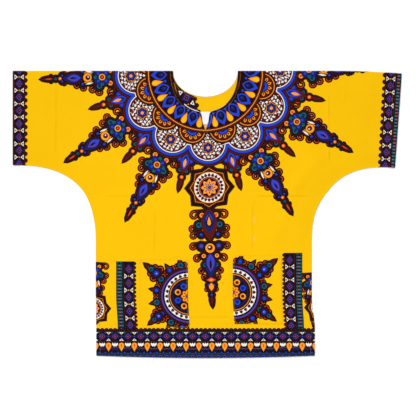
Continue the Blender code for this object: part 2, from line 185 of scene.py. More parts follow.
# A diamond's nested inks, with shares of the border's width and step, and for the hem half widths.
DIAMOND = (
    ("maroon", 0.365, 0.43),
    ("black", 0.345, 0.405),
    ("navy", 0.31, 0.36),
    ("violet", 0.225, 0.255),
    ("maroon", 0.165, 0.185),
    ("black", 0.13, 0.15),
)
HEM_DIAMOND = (
    ("maroon", 14.6, 12.2),
    ("black", 13.6, 11.4),
    ("navy", 12.0, 9.8),
    ("violet", 8.8, 7.2),
    ("maroon", 6.4, 5.2),
    ("black", 4.8, 4.0),
)

# Spacing of the points between the printed shapes, and the limits for tidying their outlines.
PLAIN_STEP = 11.0
BEND_STEP = 9.0
LONG_STEP = 10.0
INNER_STEP = 30.0
GROOVE_STEP, GROOVE_ROWS = 7.0, (-3.0, -1.2, 0.0, 1.2, 3.0)
CLEAR_SHARE, CLEAR_OF_PRINT = 0.4, 1.2
MERGE_DISTANCE, EXACT = 0.00001, 1e-9
STRAIGHT = 0.000002
SMALLEST_PATCH = 0.5
CURL_SWEEP = math.radians(262)

# The edge of a shell bulges by this share of its wall, but not where the body's two pieces meet.
EDGE_BULGE = 0.28

# The texture square: the outer skin to the left, the inner skin low on the right, the rims over it.
SQUARE_EDGE, SQUARE_SHARE = 0.005, 0.99
WIDE_FROM = 0.67  # a sheet's width over its length from which it counts as wide
OUTER_WIDE, INNER_WIDE, INNER_TALL, INNER_CORNER = 0.66, 0.31, 0.46, (0.68, 0.01)
RIM_LEFT, RIM_LENGTH, RIM_FLOOR, RIM_ROW, RIM_LEVELS = 0.68, 0.31, 0.52, 0.03, (0.0, 0.01, 0.02)

# Stitches, in metres, and how far they stand off the cloth, in millimetres.
STITCH = {"Stitch length": 0.0026, "Gap": 0.0009, "Thread radius": 0.00026}
STITCH_LIFT, TACK_LIFT, POCKET_TACK_LIFT = 0.05, 0.12, 0.15
THREAD_STEP = 0.00042  # from one thread of the cotton to the next
RIB_STEP = 0.0005  # from one rib of the label's satin to the next

# Light, floor and camera, in metres.
ROOM_LIGHT = 0.68
SUN_STRENGTH, SUN_SPREAD, SUN_TURN = 1.6, math.radians(24), (math.radians(-34), math.radians(-26), 0.0)
LAMP_POWER, LAMP_SIZE, LAMP_AT = 1.5, 0.5, (-0.10, -0.06, 0.9)
PAPER = (0.97, 0.97, 0.97, 1.0)
FLOOR_REACH, FLOOR_LEVEL = 30.0, -0.0003
LENS, SENSOR = 85.0, 36.0
SEEN_WIDTH = 1.1232
CAMERA_AT = (0.002, 0.017, SEEN_WIDTH / SENSOR * LENS)


def ramp(value):
    """A smooth step from 0 to 1."""
    held = np.clip(value, 0.0, 1.0)
    return held * held * (3 - 2 * held)


def hem_depth(x):
    return BODY_LENGTH - HEM_RISE * (x / HALF_CHEST) ** 2


def side_x(depth):
    """How far the side stands from the centre line. It flares over the vent."""
    return HALF_CHEST + VENT_FLARE * ramp((depth - VENT_TOP + FLARE_RUN) / FLARE_RUN)


def spaced(start, end, step):
    """Points from start up to but not including end, evenly spaced."""
    count = max(1, round(math.dist(start, end) / step))
    return [tuple(a + (b - a) * i / count for a, b in zip(start, end)) for i in range(count)]


def walked(corners, step):
    """Points along straight runs from corner to corner, without the last corner."""
    found = []
    for start, end in zip(corners, corners[1:]):
        found += spaced(start, end, step)
    return found


def around(corners, step):
    """Points all round a closed outline, its corners among them."""
    corners = np.asarray(corners).tolist()
    return np.array(walked(corners + corners[:1], step))


def underarm(count=30):
    """The curve from the cuff's foot to the side."""
    wide, tall = CUFF_REACH - HALF_CHEST, UNDERARM_LOW - CUFF_DEPTH
    turns = [math.pi / 2 * i / count for i in range(count + 1)]
    power = 2 / UNDERARM_POWER
    return [
        (CUFF_REACH - wide * math.cos(t) ** power, UNDERARM_LOW - tall * math.sin(t) ** power)
        for t in turns
    ]


def whole_outline(step=6.0):
    """The whole cut, front depths positive and back depths negative."""
    corner = (float(side_x(BODY_LENGTH)), float(hem_depth(HALF_CHEST)))
    hem = [(x, float(hem_depth(x))) for x, _ in spaced((0, 0), (corner[0], 0), step)]
    side = [(float(side_x(d)), d) for _, d in spaced((0, corner[1]), (0, UNDERARM_LOW), step)]
    cuff = spaced((CUFF_REACH, CUFF_DEPTH), (CUFF_REACH, FOLD_REACH), step)
    bend = spaced((CUFF_REACH, FOLD_REACH), (CUFF_REACH, 0.0), FOLD_REACH / 4)
    quarter = hem + side + underarm()[:-1] + cuff + bend
    left_front = [(-x, depth) for x, depth in quarter]
    left_back = [(-x, -depth) for x, depth in reversed(quarter)]
    right_back = [(x, -depth) for x, depth in quarter[1:]]
    right_front = list(reversed(quarter[1:]))
    ends = [(-CUFF_REACH, 0.0)], [(CUFF_REACH, 0.0)]
    return np.array(left_front + ends[0] + left_back + right_back + ends[1] + right_front)


def neck_curve(depth, power, count=44):
    """Half of the neck hole, from the right shoulder round to the left one."""
    turns = [math.pi * i / count for i in range(count + 1)]
    return [
        (
            NECK_HALF_WIDTH * math.copysign(abs(math.cos(t)) ** (2 / power), math.cos(t)),
            depth * math.sin(t) ** (2 / power),
        )
        for t in turns
    ]


def neck_hole():
    """The neck hole's edge: the front neckline with its notch, and the back neckline."""
    front = neck_curve(FRONT_NECK_DEPTH, FRONT_NECK_POWER)[1:-1]
    mouth = NOTCH[0][0] + NOTCH_SHOULDER
    ends = [(NECK_HALF_WIDTH, FOLD_REACH * i / 4) for i in range(5)]
    right = ends + [p for p in front if p[0] > mouth]
    left = [p for p in front if p[0] < -mouth] + [(-x, d) for x, d in reversed(ends)]
    notch = list(NOTCH) + [(-x, d) for x, d in reversed(NOTCH)]
    back = neck_curve(BACK_NECK_DEPTH, 2.0)[1:-1]
    back = ends[1:] + back + [(-x, d) for x, d in reversed(ends[1:])]
    return np.array(right + notch + left + [(x, -d) for x, d in reversed(back)])


def seam_line():
    """The right side seam from the vent's top to the sleeve's hem."""
    side = [(float(side_x(d)), d) for _, d in spaced((0, VENT_TOP), (0, UNDERARM_LOW), 30.0)]
    return np.array(side + underarm(14))


SEAM = seam_line()


def seam_distance(x, depth):
    """Distance from points of the cut to the nearer side seam."""
    point = np.stack([np.abs(x), np.abs(depth)], -1)
    nearest = np.full(len(x), np.inf)
    for start, end in zip(SEAM[:-1], SEAM[1:]):
        along = end - start
        share = np.clip((point - start) @ along / (along @ along), 0, 1)
        gap = np.hypot(*(point - start - share[:, None] * along).T)
        nearest = np.minimum(nearest, gap)
    return nearest


def fold_height(x, depth, row):
    """A soft fold: a rounded ridge along a line, or a hollow."""
    at_x, at_depth, angle, half_length, width, height = row
    turn = math.radians(angle)
    off_x, off_depth = x - at_x, depth - at_depth
    along = off_x * math.cos(turn) + off_depth * math.sin(turn)
    across = -off_x * math.sin(turn) + off_depth * math.cos(turn)
    return height * np.exp(-((across / width) ** 2) - (along / half_length) ** 4)


def crease_height(x, depth, row):
    """A pressed line: a narrow ridge with a shallow trough along one side, uneven in height."""
    at_x, at_depth, to_x, to_depth, height = row
    run_x, run_depth = to_x - at_x, to_depth - at_depth
    length = math.hypot(run_x, run_depth)
    off_x, off_depth = x - at_x, depth - at_depth
    share = (off_x * run_x + off_depth * run_depth) / length**2
    across = (off_x * run_depth - off_depth * run_x) / length
    ends = ramp(np.minimum(share, 1 - share) * 6)
    uneven = 0.8 + 0.2 * np.sin(share * length / 9.0 + at_x)
    ridge = np.exp(-((across / CREASE_WIDTH) ** 2))
    trough = 0.45 * np.exp(-(((across - 2.6 * CREASE_WIDTH) / (1.6 * CREASE_WIDTH)) ** 2))
    return height * (ridge - trough) * ends * uneven


def softness(x, depth):
    """The slight waves that thin cotton keeps even when it is smoothed out by hand."""
    slow = np.sin(x / 71 + 0.6 * np.sin(depth / 93)) * np.cos(depth / 104 + 0.8 * np.sin(x / 120))
    quick = np.sin(x / 23 + depth / 61 + 1.1 * np.sin(depth / 57)) * np.sin(depth / 31 - x / 83)
    return 0.45 * slow + 0.30 * quick


def pucker(distance, along):
    """A stitched line's groove, drawn up a little between the stitches."""
    groove = -0.22 * np.exp(-((distance / 1.3) ** 2))
    gather = 0.05 * np.sin(along / 2.9 + 0.8 * np.sin(along / 17)) * np.exp(-((distance / 5.0) ** 2))
    return groove + gather


def sewn_relief(x, depth):
    """Grooves of the hem lines at the foot, the cuffs and the vents, on both sides."""
    far = np.abs(depth)
    foot = pucker(hem_depth(x) - far - BODY_HEM, x)
    cuff = pucker(CUFF_REACH - np.abs(x) - CUFF_HEM, depth)
    in_vent = ramp((far - VENT_TOP) / 4.0)
    vent = pucker(side_x(far) - np.abs(x) - VENT_HEM, depth) * in_vent
    return foot + cuff + vent


def turned_share(x, depth):
    """1 where the cloth is turned in double at a hem, 0 where it is single."""
    far = np.abs(depth)
    vent = np.where(far > VENT_TOP, VENT_HEM - (side_x(far) - np.abs(x)), -1.0)
    foot = BODY_HEM - (hem_depth(x) - far)
    cuff = CUFF_HEM - (CUFF_REACH - np.abs(x))
    return np.clip(np.maximum(np.maximum(foot, cuff), vent) / HEM_STEP, 0.0, 1.0)


def wall_of(x, depth):
    return WALL + (TURNED_WALL - WALL) * turned_share(x, depth)


def front_top(x, depth):
    """Height of the front layer's outer face."""
    seam = np.exp(-((seam_distance(x, depth) / SEAM_REACH) ** 2))
    relief = softness(x, depth)
    for row in SOFT_FOLDS:
        relief = relief + fold_height(x, depth, row)
    for row in PRESS_CREASES:
        relief = relief + crease_height(x, depth, row)
    to_edge = np.minimum(depth - FOLD_REACH, hem_depth(x) - depth)
    calm = ramp(to_edge / 30.0) * (1 - seam)
    top = LAID_TOP - SEAM_DIP * seam + relief * calm + sewn_relief(x, depth)
    return np.maximum(top, 2 * wall_of(x, depth) + SEAM_GAP)


def laid(x, y):
    """Moves points of the folded, symmetrical shirt to where it was laid down."""
    depth = -y
    moved = x + SLEEVE_SLIDE * ramp((np.abs(x) - SLEEVE_ROOT) / (CUFF_REACH - SLEEVE_ROOT))
    moved = moved + BODY_SWAY * ramp((depth - SWAY_FROM) / SWAY_EASE) * ramp((SWAY_TO - depth) / SWAY_EASE)
    past = np.maximum(0.0, x - DROOP_START)
    turn = DROOP_ANGLE * past / (CUFF_REACH - DROOP_START)
    return moved - turn * depth, y - turn * past / 2


def folded(x, depth):
    """Points of the cut's outer face after folding at the shoulders, in millimetres, not centred."""
    turn = np.clip(depth, -FOLD_REACH, FOLD_REACH) / FOLD_RADIUS
    past = np.maximum(np.abs(depth) - FOLD_REACH, 0.0)
    y = -FOLD_RADIUS * (1 - np.cos(turn)) - past
    z = FOLD_RADIUS * (1 + np.sin(turn))
    z = np.where(depth > FOLD_REACH, front_top(x, depth), z)
    px, py = laid(x, y)
    return np.stack([px, py, z], -1)


def middle():
    edge = whole_outline()
    flat = folded(edge[:, 0], edge[:, 1])[:, :2]
    return (flat.min(0) + flat.max(0)) / 2


MIDDLE = middle()


def outer_face(x, depth):
    """The laid shirt's outer face in metres, in the part's own frame."""
    point = folded(x, depth)
    point[:, :2] -= MIDDLE
    return point * MM


def inside_back(x, depth):
    """The level just above the back layer's inner face, for the facing and the label."""
    px, py = laid(x, -depth)
    z = np.full(len(px), WALL + SEAM_GAP)
    return np.stack([px - MIDDLE[0], py - MIDDLE[1], z], -1) * MM


def normals_of(face, x, depth, step=0.6):
    """Unit normals of a face, pointing out of the cloth."""
    across = face(x + step, depth) - face(x - step, depth)
    down = face(x, depth + step) - face(x, depth - step)
    normal = -np.cross(across, down)
    return normal / np.linalg.norm(normal, axis=1)[:, None]


# The shapes of the print.


def linear(rgb):
    """A colour out of 255 as linear light."""
    shares = [v / 255 for v in rgb]
    return [s / 12.92 if s <= 0.04045 else ((s + 0.055) / 1.055) ** 2.4 for s in shares]


def signed_area(outline):
    x, y = outline[:, 0], outline[:, 1]
    return 0.5 * float(np.sum(x * np.roll(y, -1) - y * np.roll(x, -1)))


def grown(outline, by):
    """A closed outline moved outwards. The outline runs anticlockwise."""
    ahead = np.roll(outline, -1, 0) - outline
    behind = outline - np.roll(outline, 1, 0)
    ahead = ahead / np.maximum(np.hypot(*ahead.T), 1e-9)[:, None]
    behind = behind / np.maximum(np.hypot(*behind.T), 1e-9)[:, None]
    along = ahead + behind
    length = np.maximum(np.hypot(*along.T), 0.7)[:, None]
    out = np.stack([along[:, 1], -along[:, 0]], -1) / length
    mitre = 2.0 / length
    return outline + out * by * np.minimum(mitre, 1.7)


def inside(points, ring):
    """Whether all the points lie within a closed outline."""
    if not ((points.min(0) >= ring.min(0)).all() and (points.max(0) <= ring.max(0)).all()):
        return False
    ahead = np.roll(ring, -1, 0)
    x, y = points[:, :1], points[:, 1:]
    spans = (ring[:, 1] > y) != (ahead[:, 1] > y)
    rise = np.where(np.abs(ahead[:, 1] - ring[:, 1]) < 1e-9, 1e-9, ahead[:, 1] - ring[:, 1])
    crossing = ring[:, 0] + (y - ring[:, 1]) / rise * (ahead[:, 0] - ring[:, 0])
    return bool(((spans & (x < crossing)).sum(1) % 2 == 1).all())


class Shape:
    """One inked area: a closed outline, or a line with a half width at each of its points."""

    def __init__(self, ink, points, widths=None):
        self.ink = ink
        self.points = np.asarray(points, float)
        self.widths = None if widths is None else np.asarray(widths, float)
        if widths is None and signed_area(self.points) < 0:
            self.points = self.points[::-1].copy()

    def outline(self, extra=0.0):
        if self.widths is None:
            return grown(self.points, extra) if extra else self.points
        return ribbon(self.points, self.widths + extra)


def ribbon(path, widths):
    """A line's outline, with rounded ends."""
    along = np.gradient(path, axis=0)
    pace = np.hypot(*along.T)
    along = along / pace[:, None]
    side = np.stack([along[:, 1], -along[:, 0]], -1)
    # The inner side of a bend stops short of the bend's own centre.
    bend = np.gradient(np.unwrap(np.arctan2(along[:, 1], along[:, 0]))) / pace
    room = 0.8 / np.maximum(np.abs(bend), 1e-6)
    on_right = np.where(bend < 0, np.minimum(widths, room), widths)
    on_left = np.where(bend > 0, np.minimum(widths, room), widths)
    right, left = path + side * on_right[:, None], path - side * on_left[:, None]
    caps = []
    for end, heading in ((-1, 1.0), (0, -1.0)):
        forward, across = heading * along[end], heading * side[end]
        turns = (1.2, 0.6, 0.0, -0.6, -1.2)
        caps.append([path[end] + widths[end] * (forward * math.cos(t) + across * math.sin(t)) for t in turns])
    outline = np.concatenate([right, caps[0], left[::-1], caps[1]])
    return outline if signed_area(outline) > 0 else outline[::-1]


class Motif:
    """Inked shapes in paint order, the first at the bottom."""

    def __init__(self, shapes=()):
        self.shapes = list(shapes)

    def area(self, ink, points):
        self.shapes.append(Shape(ink, points))
        return self

    def draw(self, *rows):
        """Areas, a row for each: its ink, its maker and the maker's measures."""
        for ink, maker, *measures in rows:
            self.area(ink, maker(*measures))
        return self

    def discs(self, *rows):
        """Discs about the origin, a row for each: its ink and radius, and its sides if they are few."""
        return self.draw(*((ink, disc, 0, 0, *size) for ink, *size in rows))

    def line(self, ink, path, start, end):
        """A line whose half width runs evenly from start to end."""
        self.shapes.append(Shape(ink, path, np.linspace(start, end, len(path))))
        return self

    def add(self, other):
        self.shapes += other.shapes
        return self

    def gather(self, maker, *rows):
        """Adds a motif for each row of measures."""
        for row in rows:
            self.add(maker(*row))
        return self

    def outlined(self, *bands):
        """The motif on grown copies of itself, each band an ink and a width, the outermost first."""
        whole = [shape.outline() for shape in self.shapes]
        bare = [
            shape
            for k, shape in enumerate(self.shapes)
            if not any(k != j and inside(whole[k], whole[j]) for j in range(len(whole)))
        ]
        under = [Shape(ink, shape.outline(by)) for ink, by in bands for shape in bare]
        return Motif(under + self.shapes)

    def placed(self, x=0.0, depth=0.0, turn=0.0, size=1.0, mirrored=False):
        """The motif with its own y axis turned anticlockwise from straight down the cloth."""
        cos, sin = math.cos(turn), math.sin(turn)
        out = []
        for shape in self.shapes:
            across = -shape.points[:, 0] if mirrored else shape.points[:, 0]
            down = shape.points[:, 1]
            moved_x = x + size * (across * cos + down * sin)
            moved_y = depth + size * (down * cos - across * sin)
            widths = None if shape.widths is None else shape.widths * size
            out.append(Shape(shape.ink, np.stack([moved_x, moved_y], -1), widths))
        return Motif(out)

    def both_sides(self):
        """The motif and its mirror image across its own y axis."""
        return Motif(self.shapes + self.placed(mirrored=True).shapes)

    def over_fold(self):
        """The motif's mirror image on the back."""
        return Motif(Shape(shape.ink, shape.points * (1, -1), shape.widths) for shape in self.shapes)


def cut_up(motif):
    """The flat pieces that a motif's overlapping shapes make: points, triangles and each one's ink."""
    points, rings = [], []
    for shape in motif.shapes:
        ring = shape.outline()
        rings.append(list(range(len(points), len(points) + len(ring))))
        points += (ring if signed_area(ring) > 0 else ring[::-1]).tolist()
    found = delaunay_2d_cdt([Vector(p) for p in points], [], rings, 1, MERGE_DISTANCE, True)
    covered = [(face, motif.shapes[max(ids)].ink) for face, ids in zip(found[2], found[5]) if ids]
    faces, inks = zip(*covered)
    return np.array([tuple(v) for v in found[0]]), np.array(faces), inks


def joined_regions(triangles, inks):
    """Groups of triangles that touch along an edge and have one ink."""
    beside, group = {}, list(range(len(triangles)))

    def root(k):
        while group[k] != k:
            group[k] = group[group[k]]
            k = group[k]
        return k

    for k, (a, b, c) in enumerate(triangles.tolist()):
        for edge in ((a, b), (b, c), (c, a)):
            other = beside.get(edge[::-1])
            beside[edge] = k
            if other is not None and inks[other] == inks[k]:
                group[root(k)] = root(other)
    found = {}
    for k in range(len(triangles)):
        found.setdefault(root(k), []).append(k)
    return found.values()


def straightened(ring):
    """A closed outline without the points that lie on a straight run."""
    for _ in range(4):
        behind, ahead = ring - np.roll(ring, 1, 0), np.roll(ring, -1, 0) - ring
        span = behind + ahead
        area = np.abs(behind[:, 0] * span[:, 1] - behind[:, 1] * span[:, 0])
        off = area / np.maximum(np.hypot(*span.T), 1e-9)
        forward = (behind * ahead).sum(1) > 0
        spare = (off < STRAIGHT) & forward
        spare[1::2] &= ~np.roll(spare, 1)[1::2]
        if not spare.any() or (~spare).sum() < 4:
            break
        ring = ring[~spare]
    return ring


def flattened(motif):
    """The same print as outlines that nest or lie side by side, with nothing left of what is hidden."""
    points, triangles, inks = cut_up(motif)
    rings = []
    for region in joined_regions(triangles, inks):
        for ring in (points[loop] for loop in boundary_loops(triangles[region])):
            rings.append((signed_area(ring), ring, inks[region[0]]))
    for ring in (points[loop] for loop in boundary_loops(triangles)):
        rings.append((-signed_area(ring), ring[::-1], "ground"))
    rings = [row for row in rings if row[0] > SMALLEST_PATCH]
    rings.sort(key=lambda row: -row[0])
    return Motif(Shape(ink, around(straightened(ring), LONG_STEP)) for _, ring, ink in rings)


def disc(x, y, radius, sides=None):
    sides = sides or int(min(96, max(14, 2 * math.pi * radius / 2.2)))
    turns = np.arange(sides) * 2 * math.pi / sides
    return np.stack([x + radius * np.cos(turns), y + radius * np.sin(turns)], -1)


def half_disc(radius, sides):
    """A half disc on the origin whose round side faces along y."""
    turns = np.linspace(-math.pi / 2, math.pi / 2, sides)
    return np.stack([radius * np.sin(turns), radius * np.cos(turns)], -1)


def swollen(start, shares, along, swell):
    """An outline that swells to both sides of a straight spine."""
    across = np.array([along[1], -along[0]]) / np.hypot(*along)
    spine = start + shares[:, None] * along
    right, left = spine + swell[:, None] * across, spine - swell[:, None] * across
    return np.concatenate([right, left[-2:0:-1]])


def leaf(start, end, half_width, belly=0.5, count=9):
    """A shape pointed at both ends and widest at belly, a share of its length."""
    start, end = np.array(start, float), np.array(end, float)
    shares = np.linspace(0, 1, count + 1)
    swell = half_width * np.sin(math.pi * shares ** (math.log(0.5) / math.log(belly)))
    return swollen(start, shares, end - start, swell)


def drop(tip, foot, half_width, count=9):
    """Pointed at its tip and round at its foot."""
    tip, foot = np.array(tip, float), np.array(foot, float)
    turns = np.linspace(0, math.pi, count + 1)
    swell = half_width * np.sin(turns / 2) ** 1.5 * np.sin(turns) * 1.45
    return swollen(tip, (1 - np.cos(turns)) / 2, foot - tip, swell)


def lozenge(x, y, half_wide, half_tall):
    return np.array([(x, y - half_tall), (x + half_wide, y), (x, y + half_tall), (x - half_wide, y)])


def oblong(x0, y0, x1, y1):
    return np.array([(x0, y0), (x1, y0), (x1, y1), (x0, y1)])


def hook(x, y, radius, start, sweep, count):
    """The path of a curl round a centre, from an angle through a sweep, drawn in a little."""
    turns = start + np.linspace(0, sweep, count)
    reach = radius * np.linspace(1.0, 0.66, count)
    return np.stack([x + reach * np.sin(turns), y + reach * np.cos(turns)], -1)


def star(outer, inner, points=8):
    """A star about the origin."""
    turns = np.arange(2 * points) * math.pi / points
    reach = np.where(np.arange(2 * points) % 2 == 0, outer, inner)
    return np.stack([reach * np.sin(turns), reach * np.cos(turns)], -1)


def heading(angle):
    """The direction at an angle from straight down the cloth."""
    return np.array([math.sin(angle), math.cos(angle)])


def full_turn(count):
    return [2 * math.pi * k / count for k in range(count)]


def petal(ink, way, start, end, half_width, count, belly=0.6):
    """A leaf along a heading, as a row for drawing."""
    return ink, leaf, way * start, way * end, half_width, belly, count


def flower(petals, reach, half_width, petal_ink, eye, eye_ink, vein_ink=None, turn=0.0):
    """Leaf petals round an eye, at the origin."""
    made = Motif()
    for k in range(petals):
        way = heading(turn + 2 * math.pi * k / petals)
        made.area(petal_ink, leaf(way * eye * 0.4, way * reach, half_width, 0.6))
        if vein_ink:
            made.area(vein_ink, leaf(way * eye * 1.1, way * reach * 0.74, half_width * 0.34, 0.55, 6))
    return made.discs((eye_ink, eye))


def tendril(y, reach, radius, forward=True, width=2.3):
    """A stem that leaves the middle line and curls away, forward or back, with a bright core line."""
    way = 1 if forward else -1
    start, sweep = (math.pi, -CURL_SWEEP) if forward else (0.0, CURL_SWEEP)
    round_end = hook(reach, y + way * radius, radius, start, sweep, 14)
    stem = [(0.0, y - way * 2.0), (reach * 0.35, y - way * 1.2), (reach * 0.7, y - way * 0.3)]
    path = np.concatenate([stem, round_end])
    made = Motif().line("maroon", path, width * 1.0, width * 0.8)
    made.area("maroon", disc(*path[-1], width * 1.5, 12))
    made.line("red", path[3:], width * 0.34, width * 0.24)
    return made.outlined(("black", 2.7))


# The parts of the print, each with its own y axis pointing away from the neck.


def bud(start, end, half_width, inks):
    """A pointed bud of nested leaves."""
    made = Motif()
    length = end - start
    for k, ink in enumerate(inks):
        shrink = 1 - 0.30 * k
        low = start + length * 0.09 * k
        high = low + length * shrink * (1 - 0.04 * k)
        made.area(ink, leaf((0, low), (0, high), half_width * shrink, 0.46))
    return made


def berry(x, y, radius, inks=("navy", "blue")):
    """A round bead in nested inks, ringed in black."""
    made = Motif().area("black", disc(x, y, radius + 1.6))
    for k, ink in enumerate(inks):
        made.area(ink, disc(x, y - 0.1 * k * radius, radius * (1 - 0.42 * k)))
    return made


def long_pendant():
    """Curls, berries, a flower, a bead and a bud, tapering to a tip."""
    curls = Motif().gather(tendril, (2, 39, 9.5), (50, 40, 8.0, False), (54, 32, 8.0), (92, 27, 7.0, False))
    curls.gather(tendril, (98, 20, 6.6), (134, 13, 4.8, True, 2.0), (178, 7, 3.6, False, 1.7))
    side = Motif().gather(berry, (17, 12, 6.4, ("orange", "red")), (24, 42, 7.4, ("teal", "navy")))
    side.gather(berry, (17, 88, 4.6), (8, 144, 3.6))
    side.draw(("white", leaf, (14, 58), (18, 80), 2.2, 0.5, 5))
    side.draw(("orange", leaf, (9, 60), (13, 84), 3.2, 0.5, 5))
    made = side.both_sides().add(flower(4, 24, 7.5, "teal", 3, "orange", "black").placed(0, 34))
    bloom = flower(4, 26, 10.5, "navy", 8.6, "orange", "blue", math.pi / 4)
    made.add(bloom.discs(("maroon", 5.8), ("red", 2.8)).placed(0, 34))
    made.add(bud(88, 144, 13.5, ("navy", "violet", "blue")))
    made.area("black", leaf((0, 104), (0, 124), 2.6, 0.5, 5))
    made.add(berry(0, 74, 11.5, ("orange", "maroon", "blue"))).area("white", disc(-2, 72, 2.0, 8))
    made.gather(berry, (0, 150, 4.8, ("red", "orange")), (0, 162, 3.8, ("teal", "navy")))
    made.draw(("maroon", leaf, (0, 166), (0, 203), 4.4, 0.35), ("red", leaf, (0, 172), (0, 192), 1.6, 0.4, 5))
    return flattened(curls.both_sides().add(made.outlined(*OUTLINES)))


def short_pendant():
    """A cup of berries between two curls, with a small tip."""
    curls = Motif().gather(tendril, (14, 24, 7.5), (48, 13, 5.4, False, 2.0)).both_sides()
    made = Motif().gather(berry, (12, 28, 6.6), (7, 50, 3.8, ("teal", "navy"))).both_sides()
    made.gather(bud, (8, 60, 11, ("maroon", "blue", "navy")), (24, 44, 3.2, ("orange",)))
    made.add(berry(0, 65, 4.2, ("red", "orange"))).area("maroon", leaf((0, 68), (0, 96), 3.8, 0.35))
    return flattened(curls.add(made.outlined(*SMALL_OUTLINES)))


def medallion():
    """An eight pointed star round a white ring and a petalled eye."""
    made = Motif().draw(("black", star, 65, 53), ("maroon", star, 61.0, 50.5), ("black", star, 59.4, 49.6))
    made.draw(("orange", star, 56.5, 48), ("maroon", star, 54.9, 47.0))
    made.discs(("black", 46.5), ("orange", 44.5), ("white", 42.8))
    for way in map(heading, full_turn(22)):
        made.area("maroon", drop(way * 42.4, way * 31.6, 4.6, 8))
    made.discs(("black", 31.0), ("red", 29.0), ("maroon", 27.4), ("black", 24.6))
    made.add(flower(8, 24.5, 6.0, "orange", 8.5, "maroon", "blue"))
    return made.discs(("orange", 6.8), ("black", 5.4), ("blue", 3.8))


def crown():
    """The ogee below the medallion: its curls, and its core."""
    curls = Motif().gather(tendril, (4, 42, 11.0, True, 2.7), (62, 48, 8.5, False, 2.5), (66, 46, 8.5))
    side = Motif()
    side.gather(berry, (20, 16, 7.0, ("orange", "red")), (30, 44, 8.0, ("teal", "navy")), (24, 72, 6.0))
    side.area("orange", leaf((12, 34), (20, 62), 3.4))
    core = side.both_sides().add(bud(-6, 92, 24, ("maroon", "navy", "violet")))
    core.draw(("black", drop, (0, 12), (0, 50), 9.0), ("orange", drop, (0, 20), (0, 46), 5.0))
    return curls.both_sides(), core


def tail():
    """Below the ogee, berries, bead and buds that taper to the tip: its curls, and its core."""
    curls = Motif().gather(tendril, (10, 48, 8.5, True, 2.6), (44, 38, 9.0, True, 2.5), (82, 27, 7.0))
    curls.gather(tendril, (112, 20, 6.0, False), (138, 13, 4.6, True, 2.0))
    side = Motif().gather(berry, (25, 18, 9.0, ("navy", "violet", "blue")), (19, 46, 6.0, ("orange", "red")))
    side.gather(berry, (17, 72, 5.4, ("teal", "navy")), (8, 130, 4.0))
    made = side.both_sides().add(bud(34, 110, 16.5, ("navy", "violet", "blue")))
    made.area("black", leaf((0, 56), (0, 86), 3.4)).add(berry(0, 24, 13.5, ("orange", "maroon", "red")))
    made.draw(("white", disc, -2, 21, 2.6, 8), ("black", lozenge, 0, 115, 17, 9))
    made.draw(("red", lozenge, 0, 115, 14, 7.4), ("orange", lozenge, 0, 115, 7, 3.8))
    made.add(bud(121, 154, 10, ("maroon", "orange"))).add(berry(0, 158, 4.4))
    return curls.both_sides(), made.area("maroon", leaf((0, 161), (0, 192), 4.4, 0.35))


def centre_pendant():
    """The long drop down the centre front."""
    (crown_curls, crown_core), (tail_curls, tail_core) = crown(), tail()
    under = crown_curls.placed(0, CROWN_AT).add(tail_curls.placed(0, TAIL_AT))
    core = crown_core.placed(0, CROWN_AT).add(tail_core.placed(0, TAIL_AT))
    core.add(medallion().placed(0, MEDALLION_AT))
    return flattened(under.add(core.outlined(*OUTLINES)))


def yoke_seeds():
    """Small seeds over the yoke's ground, turned by turns this way and that."""
    made = Motif()
    for row in range(SEED_ROWS):
        reach = SEED_START + SEED_ROW * row
        count = int(2 * math.pi * reach / SEED_STEP)
        for k in range(count):
            angle = (k + 0.5 * (row % 2)) * 2 * math.pi / count
            turn = angle + SEED_TURNS[(k + 2 * row) % len(SEED_TURNS)]
            made.add(seed().placed(*(reach * heading(angle)), turn, SEED_SIZE))
    return made


def seed():
    """One comma shaped seed with a dot beside its tail."""
    bent = drop((0, -5.4), (0, 3.6), 3.1, 8)
    bent = bent + np.stack([0.07 * (bent[:, 1] - 3.0) ** 2, np.zeros(len(bent))], -1)
    return Motif().area("white", bent).area("white", disc(-2.6, -3.4, 1.25, 7))


def fan():
    """A half sun that stands on the neck band, between two lobes."""
    made = Motif()
    rings = (("maroon", 38.0), ("orange", 34.6), ("maroon", 32.8), ("black", 31.4), ("maroon", 29.6))
    for ink, radius in rings:
        made.area(ink, half_disc(radius, 19))
    for k in range(5):
        way = heading(math.radians(-66 + 33 * k))
        made.draw(petal("orange", way, 12, 27.5, 4.0, 7), petal("maroon", way, 14, 24.5, 2.0, 6))
    for ink, radius in (("black", 17.0), ("blue", 14.6), ("navy", 9.0), ("red", 4.6)):
        made.area(ink, half_disc(radius, 13))
    return made.outlined(("black", 2.4))


def yoke():
    """The lobed collar of the print, all round the neck."""
    made, lobes = Motif(), full_turn(LOBES)
    layers = (("black", 6.5, 214.0), ("maroon", 4.6, 212.0), ("black", 0.6, 208.5), ("blue", -1.8, 206.0))
    inner = (
        ("violet", -6.6, 201.6), ("black", -8.0, 200.2), ("white", -9.6, 198.6), ("maroon", -12.0, 196.2))
    for ink, grow, base in layers + inner:
        made.area(ink, disc(0, 0, base, 112))
        made.draw(*((ink, disc, *(LOBE_REACH * heading(angle)), LOBE_RADIUS + grow, 52) for angle in lobes))
    room = flattened(Motif(made.shapes[-1 - LOBES:])).shapes[0].points
    made.add(Motif(s for s in yoke_seeds().shapes if inside(s.outline(1.2), room)))
    for k in range(LOBES):
        angle = (k + 0.5) * 2 * math.pi / LOBES
        made.add(fan().placed(*(156 * heading(angle)), angle))
    bloom = flower(6, 13.0, 4.6, "navy", 4.4, "orange", "blue")
    bloom = bloom.outlined(("maroon", 4.6), ("orange", 3.0), ("maroon", 1.8))
    return made.gather(bloom.placed, *((*(201 * heading(angle)), angle) for angle in lobes))


